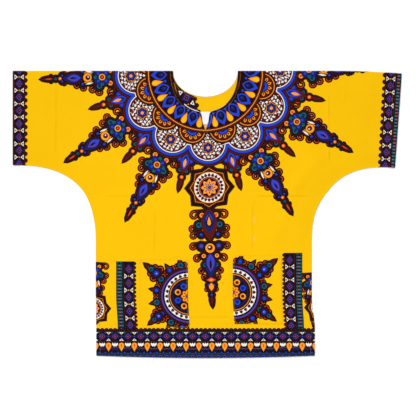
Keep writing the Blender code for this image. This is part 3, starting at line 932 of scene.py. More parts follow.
def neck_band():
    """The band of buds that edges the neckline."""
    made = Motif().discs(("black", 162.0, 96), ("maroon", 159.5, 96), ("orange", 154.6, 96))
    made.discs(("maroon", 152.6, 96), ("black", 149.5, 96))
    arch = bud(104, 147, 14.0, ("blue", "black", "navy", "blue")).outlined(("black", 2.0), ("maroon", 1.0))
    seeds = Motif().draw(("orange", drop, (0, 116), (0, 147), 7.6), ("ground", drop, (0, 124), (0, 146), 4.6))
    seeds = seeds.outlined(("maroon", 1.8)).area("blue", disc(0, 110.5, 3.4, 9))
    for angle in full_turn(20):
        made.add(arch.placed(turn=angle)).add(seeds.placed(turn=angle + math.pi / 20))
    return made.discs(("maroon", 96.0, 72), ("black", 92.5, 72))


def diamond_border(length, width, step=BORDER_STEP, edge_bumps=True):
    """A chain of diamonds down a dark band. x runs across it and y along it."""
    made = Motif()
    count = round(length / step)
    step = length / count
    if edge_bumps:
        for k in range(2 * count):
            y = (k + 0.5) * step / 2
            made.draw(("black", disc, width, y, 6.4, 14), ("maroon", disc, width + 1.2, y, 2.2, 9))
    made.draw(("black", oblong, 0, 0, width, length), ("maroon", oblong, 2.2, 2, 3.7, length - 2))
    made.area("maroon", oblong(width - 3.7, 2, width - 2.2, length - 2))
    centre = width / 2
    for k in range(count):
        y = (k + 0.5) * step
        made.draw(*((ink, lozenge, centre, y, width * wide, step * tall) for ink, wide, tall in DIAMOND))
        made.area("red", disc(centre, y, 1.5, 6))
    for y in (k * step for k in range(1, count)):
        for side in (-1, 1):
            edge, point = centre + side * width * 0.36, centre + side * width * 0.11
            made.area("white", [(edge, y - step * 0.19), (point, y), (edge, y + step * 0.19)])
            made.area("maroon", disc(centre + side * width * 0.28, y, 2.3, 7))
        made.area("orange", disc(centre, y, 1.9, 7))
    return made


def ribbon_strip(length, width):
    """A teal strip crossed by dark bars."""
    made = Motif().draw(("black", oblong, 0, 0, width, length), ("teal", oblong, 1.8, 0, width - 1.8, length))
    made.area("navy", oblong(width * 0.38, 0, width * 0.62, length))
    count = round(length / 9.0)
    for k in range(count):
        y = (k + 0.5) * length / count
        made.area("black", oblong(0, y - 1.5, width, y + 1.5))
        made.area("red", disc(width / 2, y + length / count / 2, 1.7, 7))
    return made


def cuffs():
    """The sleeves' borders, with x from the cuff's edge inwards and y over the fold."""
    length = 2 * CUFF_DEPTH + 2 * CUFF_PAST
    right = diamond_border(length, RIGHT_CUFF_BAND).placed(12, 0).add(ribbon_strip(length, CUFF_RIBBON))
    made = diamond_border(length, CUFF_BAND).placed(-CUFF_REACH, -CUFF_DEPTH - CUFF_PAST)
    return made.add(right.placed(CUFF_REACH, -CUFF_DEPTH - CUFF_PAST, mirrored=True))


def upright_border(length):
    """The border that stands on the hem band beside a pocket, its ribbon at x 0."""
    made = Motif()
    for y in range(4, int(length), 11):
        made.draw(("black", disc, 50, y, 4.6, 10), ("maroon", disc, 51, y, 2.4, 8))
    made.area("black", oblong(0, -2, 50, length))
    return made.add(diamond_border(length, 32, 35, False).placed(18, 0)).add(ribbon_strip(length, 18))


def hem_diamonds(centres, left):
    """The upper half of the hem band: a chain of diamonds between two thin lines."""
    made = Motif()
    for x, beside in centres:
        made.draw(*((ink, lozenge, x, 17, wide, tall) for ink, wide, tall in HEM_DIAMOND))
        made.draw(("red", disc, x, 17, 1.8, 7))
        made.draw(("teal", disc, x - 9, 7, 2.4, 8), ("teal", disc, x + 9, 7, 2.4, 8))
        for y, way in ((6.0, 1), (29.0, -1)):
            made.area("white", [(beside - 6.2, y), (beside + 6.2, y), (beside, y + way * 6.2)])
            made.area("maroon", disc(beside, y + way * 2.2, 1.7, 7))
        made.draw(("navy", disc, beside, 17, 3.2, 9), ("blue", disc, beside, 17, 1.7, 6))
    return made.area("maroon", oblong(left - 9, 30.6, -left + 9, 32.2))


def hem_drops(centres):
    """The middle of the hem band: hanging drops between white sprays."""
    made = Motif()
    for x, beside in centres:
        rows = (("maroon", 60, 33.0, 8.6), ("orange", 58, 34.2, 7.4), ("red", 48, 38, 2.0, 5))
        for ink, tip, foot, *size in rows:
            made.area(ink, drop((beside, tip), (beside, foot), *size))
        for side in (-1, 1):
            made.area("white", leaf((x + side * 1.4, 45.5), (x + side * 7.2, 34.5), 2.8, 0.6, 7))
            made.area("navy", leaf((x + side * 2, 55), (x + side * 10, 47), 3.2, 0.5, 6))
        made.draw(("white", leaf, (x, 34), (x, 44), 2.4, 0.5, 5), ("maroon", disc, x, 50, 2.4, 8))
    return made


def hem_band(width):
    """The deep border along the foot. x runs along it and y down to the edge."""
    made, step = Motif(), HEM_BAND_STEP
    count = math.ceil(width / step)
    left = -count * step / 2
    for x in (left + k * step / 3 for k in range(3 * count + 1)):
        made.draw(("black", disc, x, 1, 6.6, 14), ("maroon", disc, x, -1.0, 2.0, 9))
    made.area("black", oblong(left - 9, 0, -left + 9, 82))
    made.area("maroon", oblong(left - 9, 2.2, -left + 9, 3.8))
    centres = [(left + k * step, left + (k + 0.5) * step) for k in range(count + 1)]
    made.add(hem_diamonds(centres, left)).add(hem_drops(centres))
    half = step / 2
    for x in (left + k * half for k in range(2 * count + 1)):
        made.draw(("teal", disc, x, 70, 8.2, 18), ("black", disc, x, 70.5, 7.4, 16))
        made.draw(("navy", disc, x, 71, 6.4, 14))
        made.draw(("violet", disc, x, 71.5, 4.4, 11), ("black", disc, x, 72, 2.7, 8))
        made.area("blue", disc(x + half / 2, 61, 2.2, 8))
    return made


def pocket_print():
    """Half of a great rosette, cut straight at y 0 where the pocket's cloth was cut. x runs along the cut."""
    made = Motif()
    for k in range(8):
        head = berry(0, 86, 7.4, ("navy", "blue") if k % 2 else ("teal", "navy"))
        head.area("maroon", leaf((0, 90), (0, 104), 3.6, 0.4, 5))
        sprout = tendril(80, 10, 5.4, width=2.0).both_sides().add(head.outlined(("black", 3.2)))
        made.add(sprout.placed(turn=math.radians(-77 + 22 * k)))
    made.discs(("black", 78.5), ("maroon", 76.5), ("black", 75.2), ("maroon", 72.6), ("violet", 71.0))
    made.discs(("black", 67.2), ("white", 62.4))
    for way in map(heading, full_turn(26)):
        made.area("maroon", drop(way * 62.2, way * 52.8, 4.8, 8))
    made.discs(("black", 52.4), ("orange", 48.8), ("maroon", 47.2))
    made.discs(("black", 44.6), ("navy", 41.5), ("black", 38.6))
    for k in range(8):
        bead = berry(0, 29, 8.0, ("orange", "maroon") if k % 2 else ("blue", "navy"))
        made.add(bead.placed(turn=(k + 0.5) * math.pi / 4))
    made.discs(("maroon", 20)).add(flower(8, 18.0, 5.0, "orange", 7, "red", "maroon", 0.0))
    return made.discs(("black", 5), ("blue", 3.4))


def pocket_sprigs():
    """A sprig of berries between curls, for a pocket's corners, pointing along y."""
    curls = Motif().gather(tendril, (0, 13, 6.0, True, 2.0), (22, 9, 4.8, False, 1.8)).both_sides()
    head = Motif().gather(berry, (0, 8, 8.6, ("navy", "blue", "orange")), (0, 23, 5.4, ("teal", "navy")))
    head.area("maroon", leaf((0, 26), (0, 42), 4.0, 0.4))
    return curls.add(head.outlined(*SPRIG_OUTLINES))


def yoke_and_pendants():
    """Everything round the neck, centred on it."""
    made, ray, cup = Motif(), long_pendant(), short_pendant()
    reach = LOBE_REACH + LOBE_RADIUS
    for k, angle in enumerate(full_turn(LOBES)):
        between = angle + math.pi / LOBES
        if k not in (0, LOBES // 2):
            made.add(ray.placed(*((reach - 1) * heading(angle)), angle))
        made.add(cup.placed(*((LOBE_REACH + 17) * heading(between)), between, 1.25))
    made.add(centre_pendant().placed(0, reach, 0.0, 0.94))
    made.add(centre_pendant().placed(0, -reach, math.pi, 0.84))
    return made.add(yoke()).add(neck_band())


def front_ornaments():
    """Borders and sprigs below the yoke."""
    sprig, round_star = long_pendant(), medallion().outlined(*OUTLINES)
    foot, seam = 706.0, HALF_CHEST + 4
    left_top, right_top = 517.0, 494.0
    made = sprig.placed(-seam, 520.0, size=0.78).add(sprig.placed(seam - 2, 548.0, size=0.72))
    made.add(round_star.placed(-seam - 4, 642.0, size=0.66))
    made.add(round_star.placed(seam + 22, 640.0, size=0.66))
    made.add(upright_border(foot - left_top).placed(-236.0, left_top))
    made.add(upright_border(foot - right_top).placed(266.0, right_top, mirrored=True))
    return made.add(hem_band(2 * HALF_CHEST + 20).placed(0.0, 700.0))


def body_print():
    """The whole cut's print. The back repeats the front's borders beyond the fold."""
    front = front_ornaments()
    made = Motif(front.shapes + front.over_fold().shapes)
    made.add(yoke_and_pendants().placed(0, YOKE_DEPTH, LEAN))
    return made.add(cuffs())


# From shapes to cloth.


def inked_sheet(edge, holes, motif, lines, loose):
    """Cuts a flat sheet along the print's shapes. Gives its points, triangles and their inks."""
    rings = [Shape("ground", edge).points] + [Shape("hole", hole).points for hole in holes]
    inks = ["ground"] + ["hole"] * len(holes)
    low, high = edge.min(0) - 1, edge.max(0) + 1
    for shape in motif.shapes:
        ring = shape.outline()
        if (ring.max(0) > low).all() and (ring.min(0) < high).all():
            rings.append(ring if signed_area(ring) > 0 else ring[::-1])
            inks.append(shape.ink)
    points, faces, edges = [], [], []
    for ring in rings:
        faces.append(list(range(len(points), len(points) + len(ring))))
        points += ring.tolist()
    for line in lines:
        first = len(points)
        points += [list(p) for p in line]
        edges += [(first + i, first + i + 1) for i in range(len(line) - 1)]
    points += [list(p) for p in loose]
    found = delaunay_2d_cdt([Vector(p) for p in points], edges, faces, 1, MERGE_DISTANCE, True)
    holes_at = set(range(1, 1 + len(holes)))
    inked = [(face, inks[max(ids)], set(ids)) for face, ids in zip(found[2], found[5]) if 0 in ids]
    kept = [(face, ink) for face, ink, ids in inked if not holes_at & ids]
    triangles, face_inks = zip(*kept)
    points, triangles, _ = without_strays(found[0], triangles)
    return points, triangles, face_inks


def without_strays(points, triangles):
    """The points that triangles use, the triangles renumbered, and each old point's new number."""
    used, renumbered = np.unique(triangles, return_inverse=True)
    fresh = np.full(len(points), -1)
    fresh[used] = np.arange(len(used))
    return np.array([tuple(points[k]) for k in used]), renumbered.reshape(-1, 3), fresh


def boundary_loops(triangles):
    """The loops of points along the open edges of a sheet, parted where they touch at a point."""
    edges = np.concatenate([triangles[:, [0, 1]], triangles[:, [1, 2]], triangles[:, [2, 0]]])
    have = {(a, b) for a, b in edges.tolist()}
    following = {}
    for a, b in sorted(have):
        if (b, a) not in have:
            following.setdefault(a, []).append(b)
    loops = []
    while following:
        path = [next(iter(following))]
        place = {path[0]: 0}
        while path[-1] in following:
            here = path[-1]
            there = following[here].pop()
            if not following[here]:
                del following[here]
            if there not in place:
                place[there] = len(path)
                path.append(there)
                continue
            loops.append(path[place[there]:])
            for gone in path[place[there] + 1:]:
                del place[gone]
            del path[place[there] + 1:]
    return loops


def staggered(low, high, step):
    """Rows of points over an oblong, every other row set over by half a step."""
    rows = np.arange(low[1] + step / 2, high[1], step * math.sqrt(3) / 2)
    found = []
    for r, depth in enumerate(rows):
        xs = np.arange(low[0] + step * (0.25 + 0.5 * (r % 2)), high[0], step)
        found += [(x, depth) for x in xs]
    return np.array(found)


def clear_of(points, taken, gap):
    """The points that keep at least about gap from those taken."""
    used = {(int(x // gap), int(y // gap)) for x, y in taken}
    beside = [(a, b) for a in (-1, 0, 1) for b in (-1, 0, 1)]
    kept = []
    for x, y in points:
        i, j = int(x // gap), int(y // gap)
        if not any((i + a, j + b) in used for a, b in beside):
            kept.append((x, y))
    return kept


def crease_rows():
    """Points along each pressed crease and beside it, so that the ridge has its form."""
    found = []
    for x0, depth0, x1, depth1, _ in PRESS_CREASES:
        run = spaced((x0, depth0), (x1, depth1), 6.0)
        length = math.hypot(x1 - x0, depth1 - depth0)
        across = ((depth1 - depth0) / length, -(x1 - x0) / length)
        for off in CREASE_ROWS:
            found += [(x + off * across[0], depth + off * across[1]) for x, depth in run]
    return found


def bend_lines():
    """Lines across the cloth that round the shoulder fold off."""
    lines = []
    for k in range(-3, 5):
        depth = FOLD_REACH * k / 4
        for side in (1, -1):
            end = (CUFF_REACH - 0.5, 0)
            run = spaced((NECK_HALF_WIDTH + 1.5, 0), end, BEND_STEP) + [end]
            lines.append([(side * x, depth) for x, _ in run])
    return lines


def groove_lines():
    """Rows of points along the stitched hems, front and back."""
    found = []
    xs = np.arange(-HALF_CHEST + 14, HALF_CHEST - 12, GROOVE_STEP)
    downs = np.arange(VENT_TOP + 4, BODY_LENGTH - 30, GROOVE_STEP)
    sleeve = np.arange(-CUFF_DEPTH + 5, CUFF_DEPTH - 4, GROOVE_STEP)
    for way in (1, -1):
        for off in GROOVE_ROWS:
            found += [(x, way * (hem_depth(x) - BODY_HEM + off)) for x in xs]
            found += [(side * (side_x(d) - VENT_HEM + off), way * d) for d in downs for side in (1, -1)]
    for off in GROOVE_ROWS:
        found += [(side * (CUFF_REACH - CUFF_HEM + off), d) for d in sleeve for side in (1, -1)]
    return found


def at(measure, flat):
    """A measure at points of the cut, whether it is one number or depends on the place."""
    return measure(*flat.T) if callable(measure) else np.full(len(flat), measure)


def raised(face, flat, rise):
    """Points of the cut moved out of a face by rise in millimetres, with the face's normals there."""
    normal = normals_of(face, *flat.T)
    return face(*flat.T) + normal * (rise * MM)[:, None], normal


def skin_places(flat, inner_flat):
    """Where the two skins' points lie in the texture square, the outer beside the inner."""
    low, high = flat.min(0), flat.max(0)
    long_side = (high - low).max()
    is_wide = (high - low)[0] > WIDE_FROM * (high - low)[1]
    outer = (flat - low) * SQUARE_SHARE / long_side + (SQUARE_EDGE, SQUARE_EDGE)
    inner = (inner_flat - low) * (INNER_WIDE if is_wide else INNER_TALL) / long_side + INNER_CORNER
    return outer * (OUTER_WIDE if is_wide else 1.0), inner


def band_corners(here, ahead):
    """Corners of the four triangles between each point of three loops and the next points ahead."""
    (top, half, foot), (next_top, next_half, next_foot) = here, ahead
    rows = (
        (next_top, top, half), (next_top, half, next_half),
        (next_half, half, foot), (next_half, foot, next_foot),
    )
    corners = np.stack([np.stack(row, 1) for row in rows], 1)
    return corners.reshape(-1, *corners.shape[2:])


def rim_places(count, row):
    """Places in the texture square for the rim along one loop of a shell's edge."""
    along = RIM_LEFT + RIM_LENGTH * np.linspace(0, 1, count + 1)
    heights = [RIM_FLOOR + RIM_ROW * row + up for up in RIM_LEVELS]
    levels = [np.stack([along, np.full(count + 1, height)], -1) for height in heights]
    return band_corners([level[:-1] for level in levels], [level[1:] for level in levels])


def rim(ring, upper, lower, normal, width):
    """The middle points of the rounded rim between two loops, and the normals of its corners."""
    mid = (upper + lower) / 2
    out = np.cross(np.roll(mid, -1, 0) - np.roll(mid, 1, 0), normal)
    out = out / np.maximum(np.linalg.norm(out, axis=1), 1e-12)[:, None]
    levels = (normal + out) / math.sqrt(2), out, (out - normal) / math.sqrt(2)
    ahead = [np.roll(level, -1, 0) for level in levels]
    return mid + out * (width * MM)[:, None], band_corners(levels, ahead)


def linked(name, data):
    """A new object in the scene."""
    made = bpy.data.objects.new(name, data)
    bpy.context.scene.collection.objects.link(made)
    return made


def mesh_of(name, points, faces, loop_normals, face_colours, loop_uvs, finish):
    """A piece from its points, faces, corner normals, face colours and texture places."""
    mesh = bpy.data.meshes.new(name)
    mesh.vertices.add(len(points))
    mesh.vertices.foreach_set("co", np.asarray(points, np.float32).ravel())
    mesh.loops.add(faces.size)
    mesh.loops.foreach_set("vertex_index", faces.astype(np.int32).ravel())
    mesh.polygons.add(len(faces))
    mesh.polygons.foreach_set("loop_start", np.arange(0, faces.size, 3, dtype=np.int32))
    mesh.update(calc_edges=True)
    ink = mesh.attributes.new("Ink", "FLOAT_COLOR", "CORNER")
    colours = np.ones((len(faces), 3, 4), np.float32)
    colours[:, :, :3] = face_colours[:, None, :]
    ink.data.foreach_set("color", colours.ravel())
    places = mesh.uv_layers.new(name="OFBake")
    places.uv.foreach_set("vector", np.asarray(loop_uvs, np.float32).ravel())
    mesh.shade_smooth()
    mesh.normals_split_custom_set(loop_normals.reshape(-1, 3).tolist())
    mesh.materials.append(finish)
    return linked(name, mesh)


def inner_skin(flat, triangles):
    """A coarse copy of a sheet that shares the points along its edges, and where those points are in it."""
    loops = boundary_loops(triangles)
    edge_points = [i for loop in loops for i in loop]
    points, faces = flat[edge_points].tolist(), []
    for loop in loops:
        first = sum(map(len, faces))
        face = list(range(first, first + len(loop)))
        faces.append(face if signed_area(flat[loop]) > 0 else face[::-1])
    outer_ring = int(np.argmax([abs(signed_area(flat[loop])) for loop in loops]))
    points += clear_of(staggered(flat.min(0), flat.max(0), INNER_STEP), points, INNER_STEP * CLEAR_SHARE)
    found = delaunay_2d_cdt([Vector(p) for p in points], [], faces, 1, EXACT, True)
    kept = [face for face, ids in zip(found[2], found[5]) if outer_ring in ids and len(set(ids)) == 1]
    inner, kept, fresh = without_strays(found[0], kept)
    matched = np.full(len(flat), -1)
    for new, origins in enumerate(found[3]):
        for origin in origins:
            if origin < len(edge_points):
                matched[edge_points[origin]] = fresh[new]
    return inner, kept, matched


def inks_by_edge(triangles, inks):
    """The ink of the triangle along each of its edges."""
    found = {}
    for (a, b, c), ink in zip(triangles.tolist(), inks):
        found.update({(a, b): ink, (b, c): ink, (c, a): ink})
    return found


def colours_of(inks):
    """The inks' colours as linear light, a row for each."""
    palette = {ink: linear(rgb) for ink, rgb in INKS.items()}
    return np.array([palette[ink] for ink in inks])


def cloth_piece(name, sheet, face, wall, finish, lift=0.0, edge_change=None, back_ink="wrong_side"):
    """A closed thin shell: the inked outer skin, a plain inner skin, and a rounded rim between them."""
    flat, triangles, face_inks = sheet
    triangles = triangles[:, ::-1]
    outer, normal = raised(face, flat, at(lift, flat))
    inner_flat, inner_triangles, matched = inner_skin(flat, triangles)
    inner, inner_normal = raised(face, inner_flat, at(lift, inner_flat) - at(wall, inner_flat))
    outer_uv, inner_uv = skin_places(flat, inner_flat)
    points, faces = [outer, inner], [triangles, inner_triangles + len(outer)]
    corner_normals = [normal[triangles], -inner_normal[inner_triangles]]
    uvs = [outer_uv[triangles], inner_uv[inner_triangles]]
    ink_beside = inks_by_edge(triangles, face_inks)
    rim_inks, used = [], len(outer) + len(inner)
    bulge = at(wall, flat) * np.where(np.abs(flat[:, 1] + FOLD_REACH) < 0.01, 0.0, EDGE_BULGE)
    for row, loop in enumerate(boundary_loops(triangles)):
        ring = np.array(loop)
        mid, normals = rim(ring, outer[ring], inner[matched[ring]], normal[ring], bulge[ring])
        levels = ring, used + np.arange(len(ring)), len(outer) + matched[ring]
        faces.append(band_corners(levels, [np.roll(level, -1) for level in levels]))
        points.append(mid)
        corner_normals.append(normals)
        uvs.append(rim_places(len(ring), row))
        rim_inks += [ink_beside[pair] for pair in zip(loop, loop[1:] + loop[:1]) for _ in range(4)]
        used += len(ring)
    points, faces = np.concatenate(points), np.concatenate(faces)
    colours = colours_of([*face_inks, *[back_ink] * len(inner_triangles), *rim_inks])
    if edge_change:
        rims = slice(-len(rim_inks), None)
        colours[rims] = edge_change(points[faces[rims]].mean(1), colours[rims])
    corner_normals, uvs = np.concatenate(corner_normals), np.concatenate(uvs)
    return mesh_of(name, points, faces, corner_normals, colours, uvs, finish)


def pale_neck_edge(points, colours):
    """Changes the cut edge's colours to those of bare threads at the front of the neck."""
    x, depth = points[:, 0] / MM + MIDDLE[0], -(points[:, 1] / MM + MIDDLE[1])
    pale = (np.abs(x) < PALE_HALF_WIDTH) & (depth > NECK_HALF_WIDTH) & (depth < NOTCH[-1][1] + 5)
    return np.where(pale[:, None], linear(INKS["pale_edge"]), colours)


# The pieces' flat sheets.


def part_of_cut(front):
    """The cut's edge before or behind the line where the cloth meets the table under the shoulder fold."""
    outline = whole_outline()
    join = spaced((-CUFF_REACH, -FOLD_REACH), (CUFF_REACH, -FOLD_REACH), BEND_STEP)[1:]
    behind = np.flatnonzero(outline[:, 1] <= -FOLD_REACH + 1e-6)
    if not front:
        return np.concatenate([outline[behind], join[::-1]])
    first, last = behind[0], behind[-1]
    return np.concatenate([outline[: first + 1], join, outline[last:]])


def frayed_edge():
    """The bare threads along the front neckline's cut edge."""
    curve = neck_curve(FRONT_NECK_DEPTH, FRONT_NECK_POWER)
    path = [(x, depth) for x, depth in curve if FRAY_FROM < x < FRAY_TO and depth > NECK_HALF_WIDTH]
    return Shape("pale_edge", path, np.full(len(path), FRAY_WIDTH))


def body_sheet(motif, front):
    """The front with the shoulder fold's roll, or the back, cut along the print."""
    edge, hole = part_of_cut(front), neck_hole()
    if front:
        motif = Motif(motif.shapes + [frayed_edge()])
    taken = np.concatenate([shape.outline() for shape in motif.shapes] + [edge, hole])
    rows = clear_of(crease_rows() + groove_lines(), taken, CLEAR_OF_PRINT)
    loose = staggered(edge.min(0), edge.max(0), PLAIN_STEP)
    loose = clear_of(loose, np.concatenate([taken, np.array(rows)]), PLAIN_STEP * CLEAR_SHARE)
    return inked_sheet(edge, [hole], motif, bend_lines() if front else [], rows + loose)


def pocket_sheet(row):
    """A pocket's cloth with its half rosette, cut at the edge nearest the centre."""
    x, top, side = row["x"], row["depth"], row["side"]
    motif = pocket_print().placed(x, top + ROSETTE_DOWN, side * math.pi / 2)
    for across, down, turn, lean, size in SPRIGS:
        motif.add(pocket_sprigs().placed(x + side * across, top + down, turn + side * lean, size))
    edge = around(oblong(x, top, x + side * POCKET_WIDTH, top + POCKET_HEIGHT), 6.0)
    xs = np.linspace(edge[:, 0].min() + 3, edge[:, 0].max() - 3, 24)
    rows = [(px, top + POCKET_HEM + off) for off in GROOVE_ROWS for px in xs]
    taken = np.concatenate([shape.outline() for shape in motif.shapes] + [edge])
    rows = clear_of(rows, taken, CLEAR_OF_PRINT)
    loose = clear_of(staggered(edge.min(0), edge.max(0), 9.0), np.concatenate([taken, np.array(rows)]), 3.6)
    return inked_sheet(edge, [], motif, [], rows + loose)


def pocket_wall(row):
    """A pocket's wall as a function of the place, double at the hem of its mouth."""

    def wall(x, depth):
        turned = np.clip((POCKET_HEM - (depth - row["depth"])) / HEM_STEP, 0, 1)
        return WALL + (TURNED_WALL - WALL) * turned

    return wall


def pocket_rise(row):
    """How far a pocket's outer face stands off the front: its wall, and a slight fullness."""
    x0, top, side = row["x"], row["depth"], row["side"]

    def rise(x, depth):
        across = np.clip((x - x0) * side / POCKET_WIDTH, 0, 1)
        down = np.clip((depth - top) / POCKET_HEIGHT, 0, 1)
        full = POCKET_FULLNESS * np.sin(math.pi * across) * np.sin(math.pi * down**0.7)
        stitched = pucker(depth - top - POCKET_HEM, x)
        edge_gap = np.minimum(np.minimum(across, 1 - across) * POCKET_WIDTH, (1 - down) * POCKET_HEIGHT)
        sewn_edge = pucker(edge_gap - POCKET_SEAM, depth) * 0.6
        return SEAM_GAP + pocket_wall(row)(x, depth) + full + stitched + sewn_edge

    return rise


def facing_arc(inset, count, below_top=0.0):
    """Points round the back of the neck, set back from its edge by inset."""
    wide, deep = NECK_HALF_WIDTH + FACING_SET_BACK + inset, BACK_NECK_DEPTH + FACING_SET_BACK + inset
    start = math.asin((FACING_TOP_DEPTH + below_top) / deep)
    turns = np.linspace(start, math.pi - start, count)
    return np.stack([wide * np.cos(turns), deep * np.sin(turns)], -1)


def facing_sheet():
    """The neck facing's cloth, with a scrap of border where it was cut."""
    edge = np.concatenate([facing_arc(0.0, 40), facing_arc(FACING_WIDTH - FACING_SET_BACK, 40)[::-1]])
    scrap = diamond_border(180, 42).placed(-96, -8, math.radians(16))
    return inked_sheet(edge, [], scrap, [], clear_of(staggered(edge.min(0), edge.max(0), 8.0), edge, 3.0))


def label_sheet():
    """The label's satin."""
    half = LABEL_WIDTH / 2
    edge = around(oblong(-half, LABEL_TOP, half, LABEL_TOP + LABEL_HEIGHT), 5.0)
    loose = clear_of(staggered(edge.min(0), edge.max(0), 6.0), edge, 2.4)
    return inked_sheet(edge, [], Motif().area("white", edge), [], loose)


# Finishes.


class Value:
    """A node's output that takes Python's arithmetic."""

    def __init__(self, tree, socket):
        self.tree, self.socket = tree, socket

    def beside(self, name):
        """Another output of the same node."""
        return Value(self.tree, self.socket.node.outputs[name])

    def math(self, operation, *terms):
        return self.tree.node("ShaderNodeMath", {"operation": operation}, terms)

    def __add__(self, other):
        return self.math("ADD", self, other)

    def __sub__(self, other):
        return self.math("SUBTRACT", self, other)

    def __rsub__(self, other):
        return self.math("SUBTRACT", other, self)

    def __mul__(self, other):
        return self.math("MULTIPLY", self, other)

    __radd__ = __add__
    __rmul__ = __mul__

    def sine(self):
        return self.math("SINE", self)


class Tree:
    """A tree of nodes under construction."""

    def __init__(self, group):
        self.nodes, self.links = group.nodes, group.links

    def node(self, kind, settings=None, values=(), out=0):
        """Makes a node, its settings first, then its sockets' values or links. Gives one output."""
        made = self.nodes.new(kind)
        for key, value in (settings or {}).items():
            setattr(made, key, value)
        for key, value in values.items() if isinstance(values, dict) else enumerate(values):
            if value is not None:
                self.feed(made.inputs[key], value)
        return Value(self, made.outputs[out]) if made.outputs else made

    def feed(self, socket, value):
        if isinstance(value, Value):
            self.links.new(value.socket, socket)
        else:
            socket.default_value = value


class Finish(Tree):
    """A material under construction."""

    def __init__(self, name):
        self.material = bpy.data.materials.new(name)
        self.material.use_nodes = True
        super().__init__(self.material.node_tree)
        self.surface = self.nodes["Principled BSDF"]

    def shine(self, **sockets):
        """Sets the surface's own sockets, with underscores for spaces."""
        for name, value in sockets.items():
            self.feed(self.surface.inputs[name.replace("_", " ")], value)
        return self.material

    def place(self):
        return self.node("ShaderNodeTexCoord", out="Object")

    def part(self, axis):
        return self.node("ShaderNodeSeparateXYZ", None, [self.place()], axis)

    def noise(self, scale, detail=2.0, rough=0.5, place=None):
        values = {"Vector": place or self.place(), "Scale": scale, "Detail": detail, "Roughness": rough}
        return self.node("ShaderNodeTexNoise", {"noise_dimensions": "3D"}, values)

    def lit(self, colour, amount):
        """A colour made lighter above 1 and darker below."""
        return self.node("ShaderNodeVectorMath", {"operation": "SCALE"}, {0: colour, "Scale": amount})

    def bump(self, height, strength, distance, under=None):
        values = {"Height": height, "Strength": strength, "Distance": distance, "Normal": under}
        return self.node("ShaderNodeBump", None, values)


def weave(finish):
    """Height of a plain weave: threads that run along X and Y pass over each other by turns."""
    across, along = (finish.part(axis) * (math.pi / THREAD_STEP) for axis in "XY")
    return across.sine() * along.sine()


def printed_cotton():
    """Thin cotton with its inks soaked in, a little uneven, and a fine weave."""
    finish = Finish("printed_cotton_finish")
    ink = finish.node("ShaderNodeAttribute", {"attribute_name": "Ink"}, out="Color")
    slubs = finish.noise(420.0, 3.0, 0.6)
    patches = finish.noise(9.0, 3.0, 0.55)
    stretch = {"Vector": finish.place(), "Scale": (18.0, 900.0, 1.0)}
    drawn_out = finish.node("ShaderNodeMapping", None, stretch)
    streaks = finish.noise(1.0, place=drawn_out)
    depth_of_ink = 0.80 + 0.05 * slubs + 0.09 * patches + 0.04 * streaks
    threads = weave(finish)
    colour = finish.lit(ink, depth_of_ink + 0.02 * threads)
    crush = finish.noise(38.0, 4.0, 0.6)
    soft = finish.bump(crush, 0.22, 0.0009)
    fine = finish.bump(threads + slubs * 0.8, 0.35, 0.00012, soft)
    rough = 0.78 + 0.14 * slubs
    return finish.shine(Base_Color=colour, Roughness=rough, Normal=fine, Specular_IOR_Level=0.06)


def label_satin():
    """White woven satin, ribbed across."""
    finish = Finish("label_satin_finish")
    ribs = (finish.part("Y") * (math.pi / RIB_STEP)).sine()
    haze = finish.noise(160.0)
    pale = finish.lit(linear(LABEL_WHITE), 0.94 + 0.08 * haze)
    return finish.shine(Base_Color=pale, Roughness=0.38 + 0.1 * haze, Normal=finish.bump(ribs, 0.3, 0.0001))


def sewing_thread(name, rgb):
    """Spun thread with a slight twist and sheen."""
    finish = Finish(name)
    twist = finish.noise(900.0)
    colour = finish.lit(linear(rgb), 0.85 + 0.3 * twist)
    ply = finish.bump(twist, 0.4, 0.0001)
    return finish.shine(Base_Color=colour, Roughness=0.55, Normal=ply, Sheen_Weight=0.1)


# Sewing.


def stitch_tree(thread):
    """Geometry Nodes that sew a running line of stitches along curves."""
    group = bpy.data.node_groups.new("running_stitches", "GeometryNodeTree")
    group.interface.new_socket("Geometry", in_out="INPUT", socket_type="NodeSocketGeometry")
    for title in STITCH:
        group.interface.new_socket(title, in_out="INPUT", socket_type="NodeSocketFloat")
    group.interface.new_socket("Geometry", in_out="OUTPUT", socket_type="NodeSocketGeometry")
    tree = Tree(group)
    path = tree.node("NodeGroupInput")
    length, radius = path.beside("Stitch length"), path.beside("Thread radius")
    spread = {"Curve": path, "Length": length + path.beside("Gap")}
    points = tree.node("GeometryNodeCurveToPoints", {"mode": "LENGTH"}, spread, "Points")
    ball = tree.node("GeometryNodeMeshUVSphere", None, {"Segments": 6, "Rings": 5, "Radius": 1.0}, "Mesh")
    size = tree.node("ShaderNodeCombineXYZ", None, (radius, radius, length * 0.5))
    turn = tree.node("FunctionNodeAlignRotationToVector", {"axis": "Z"}, {"Vector": points.beside("Tangent")})
    placing = {"Points": points, "Instance": ball, "Rotation": turn, "Scale": size}
    instances = tree.node("GeometryNodeInstanceOnPoints", None, placing)
    real = tree.node("GeometryNodeRealizeInstances", None, [instances])
    sewn_down = tree.node("GeometryNodeSetMaterial", None, {"Geometry": real, "Material": thread})
    tree.node("NodeGroupOutput", None, [sewn_down])
    return group


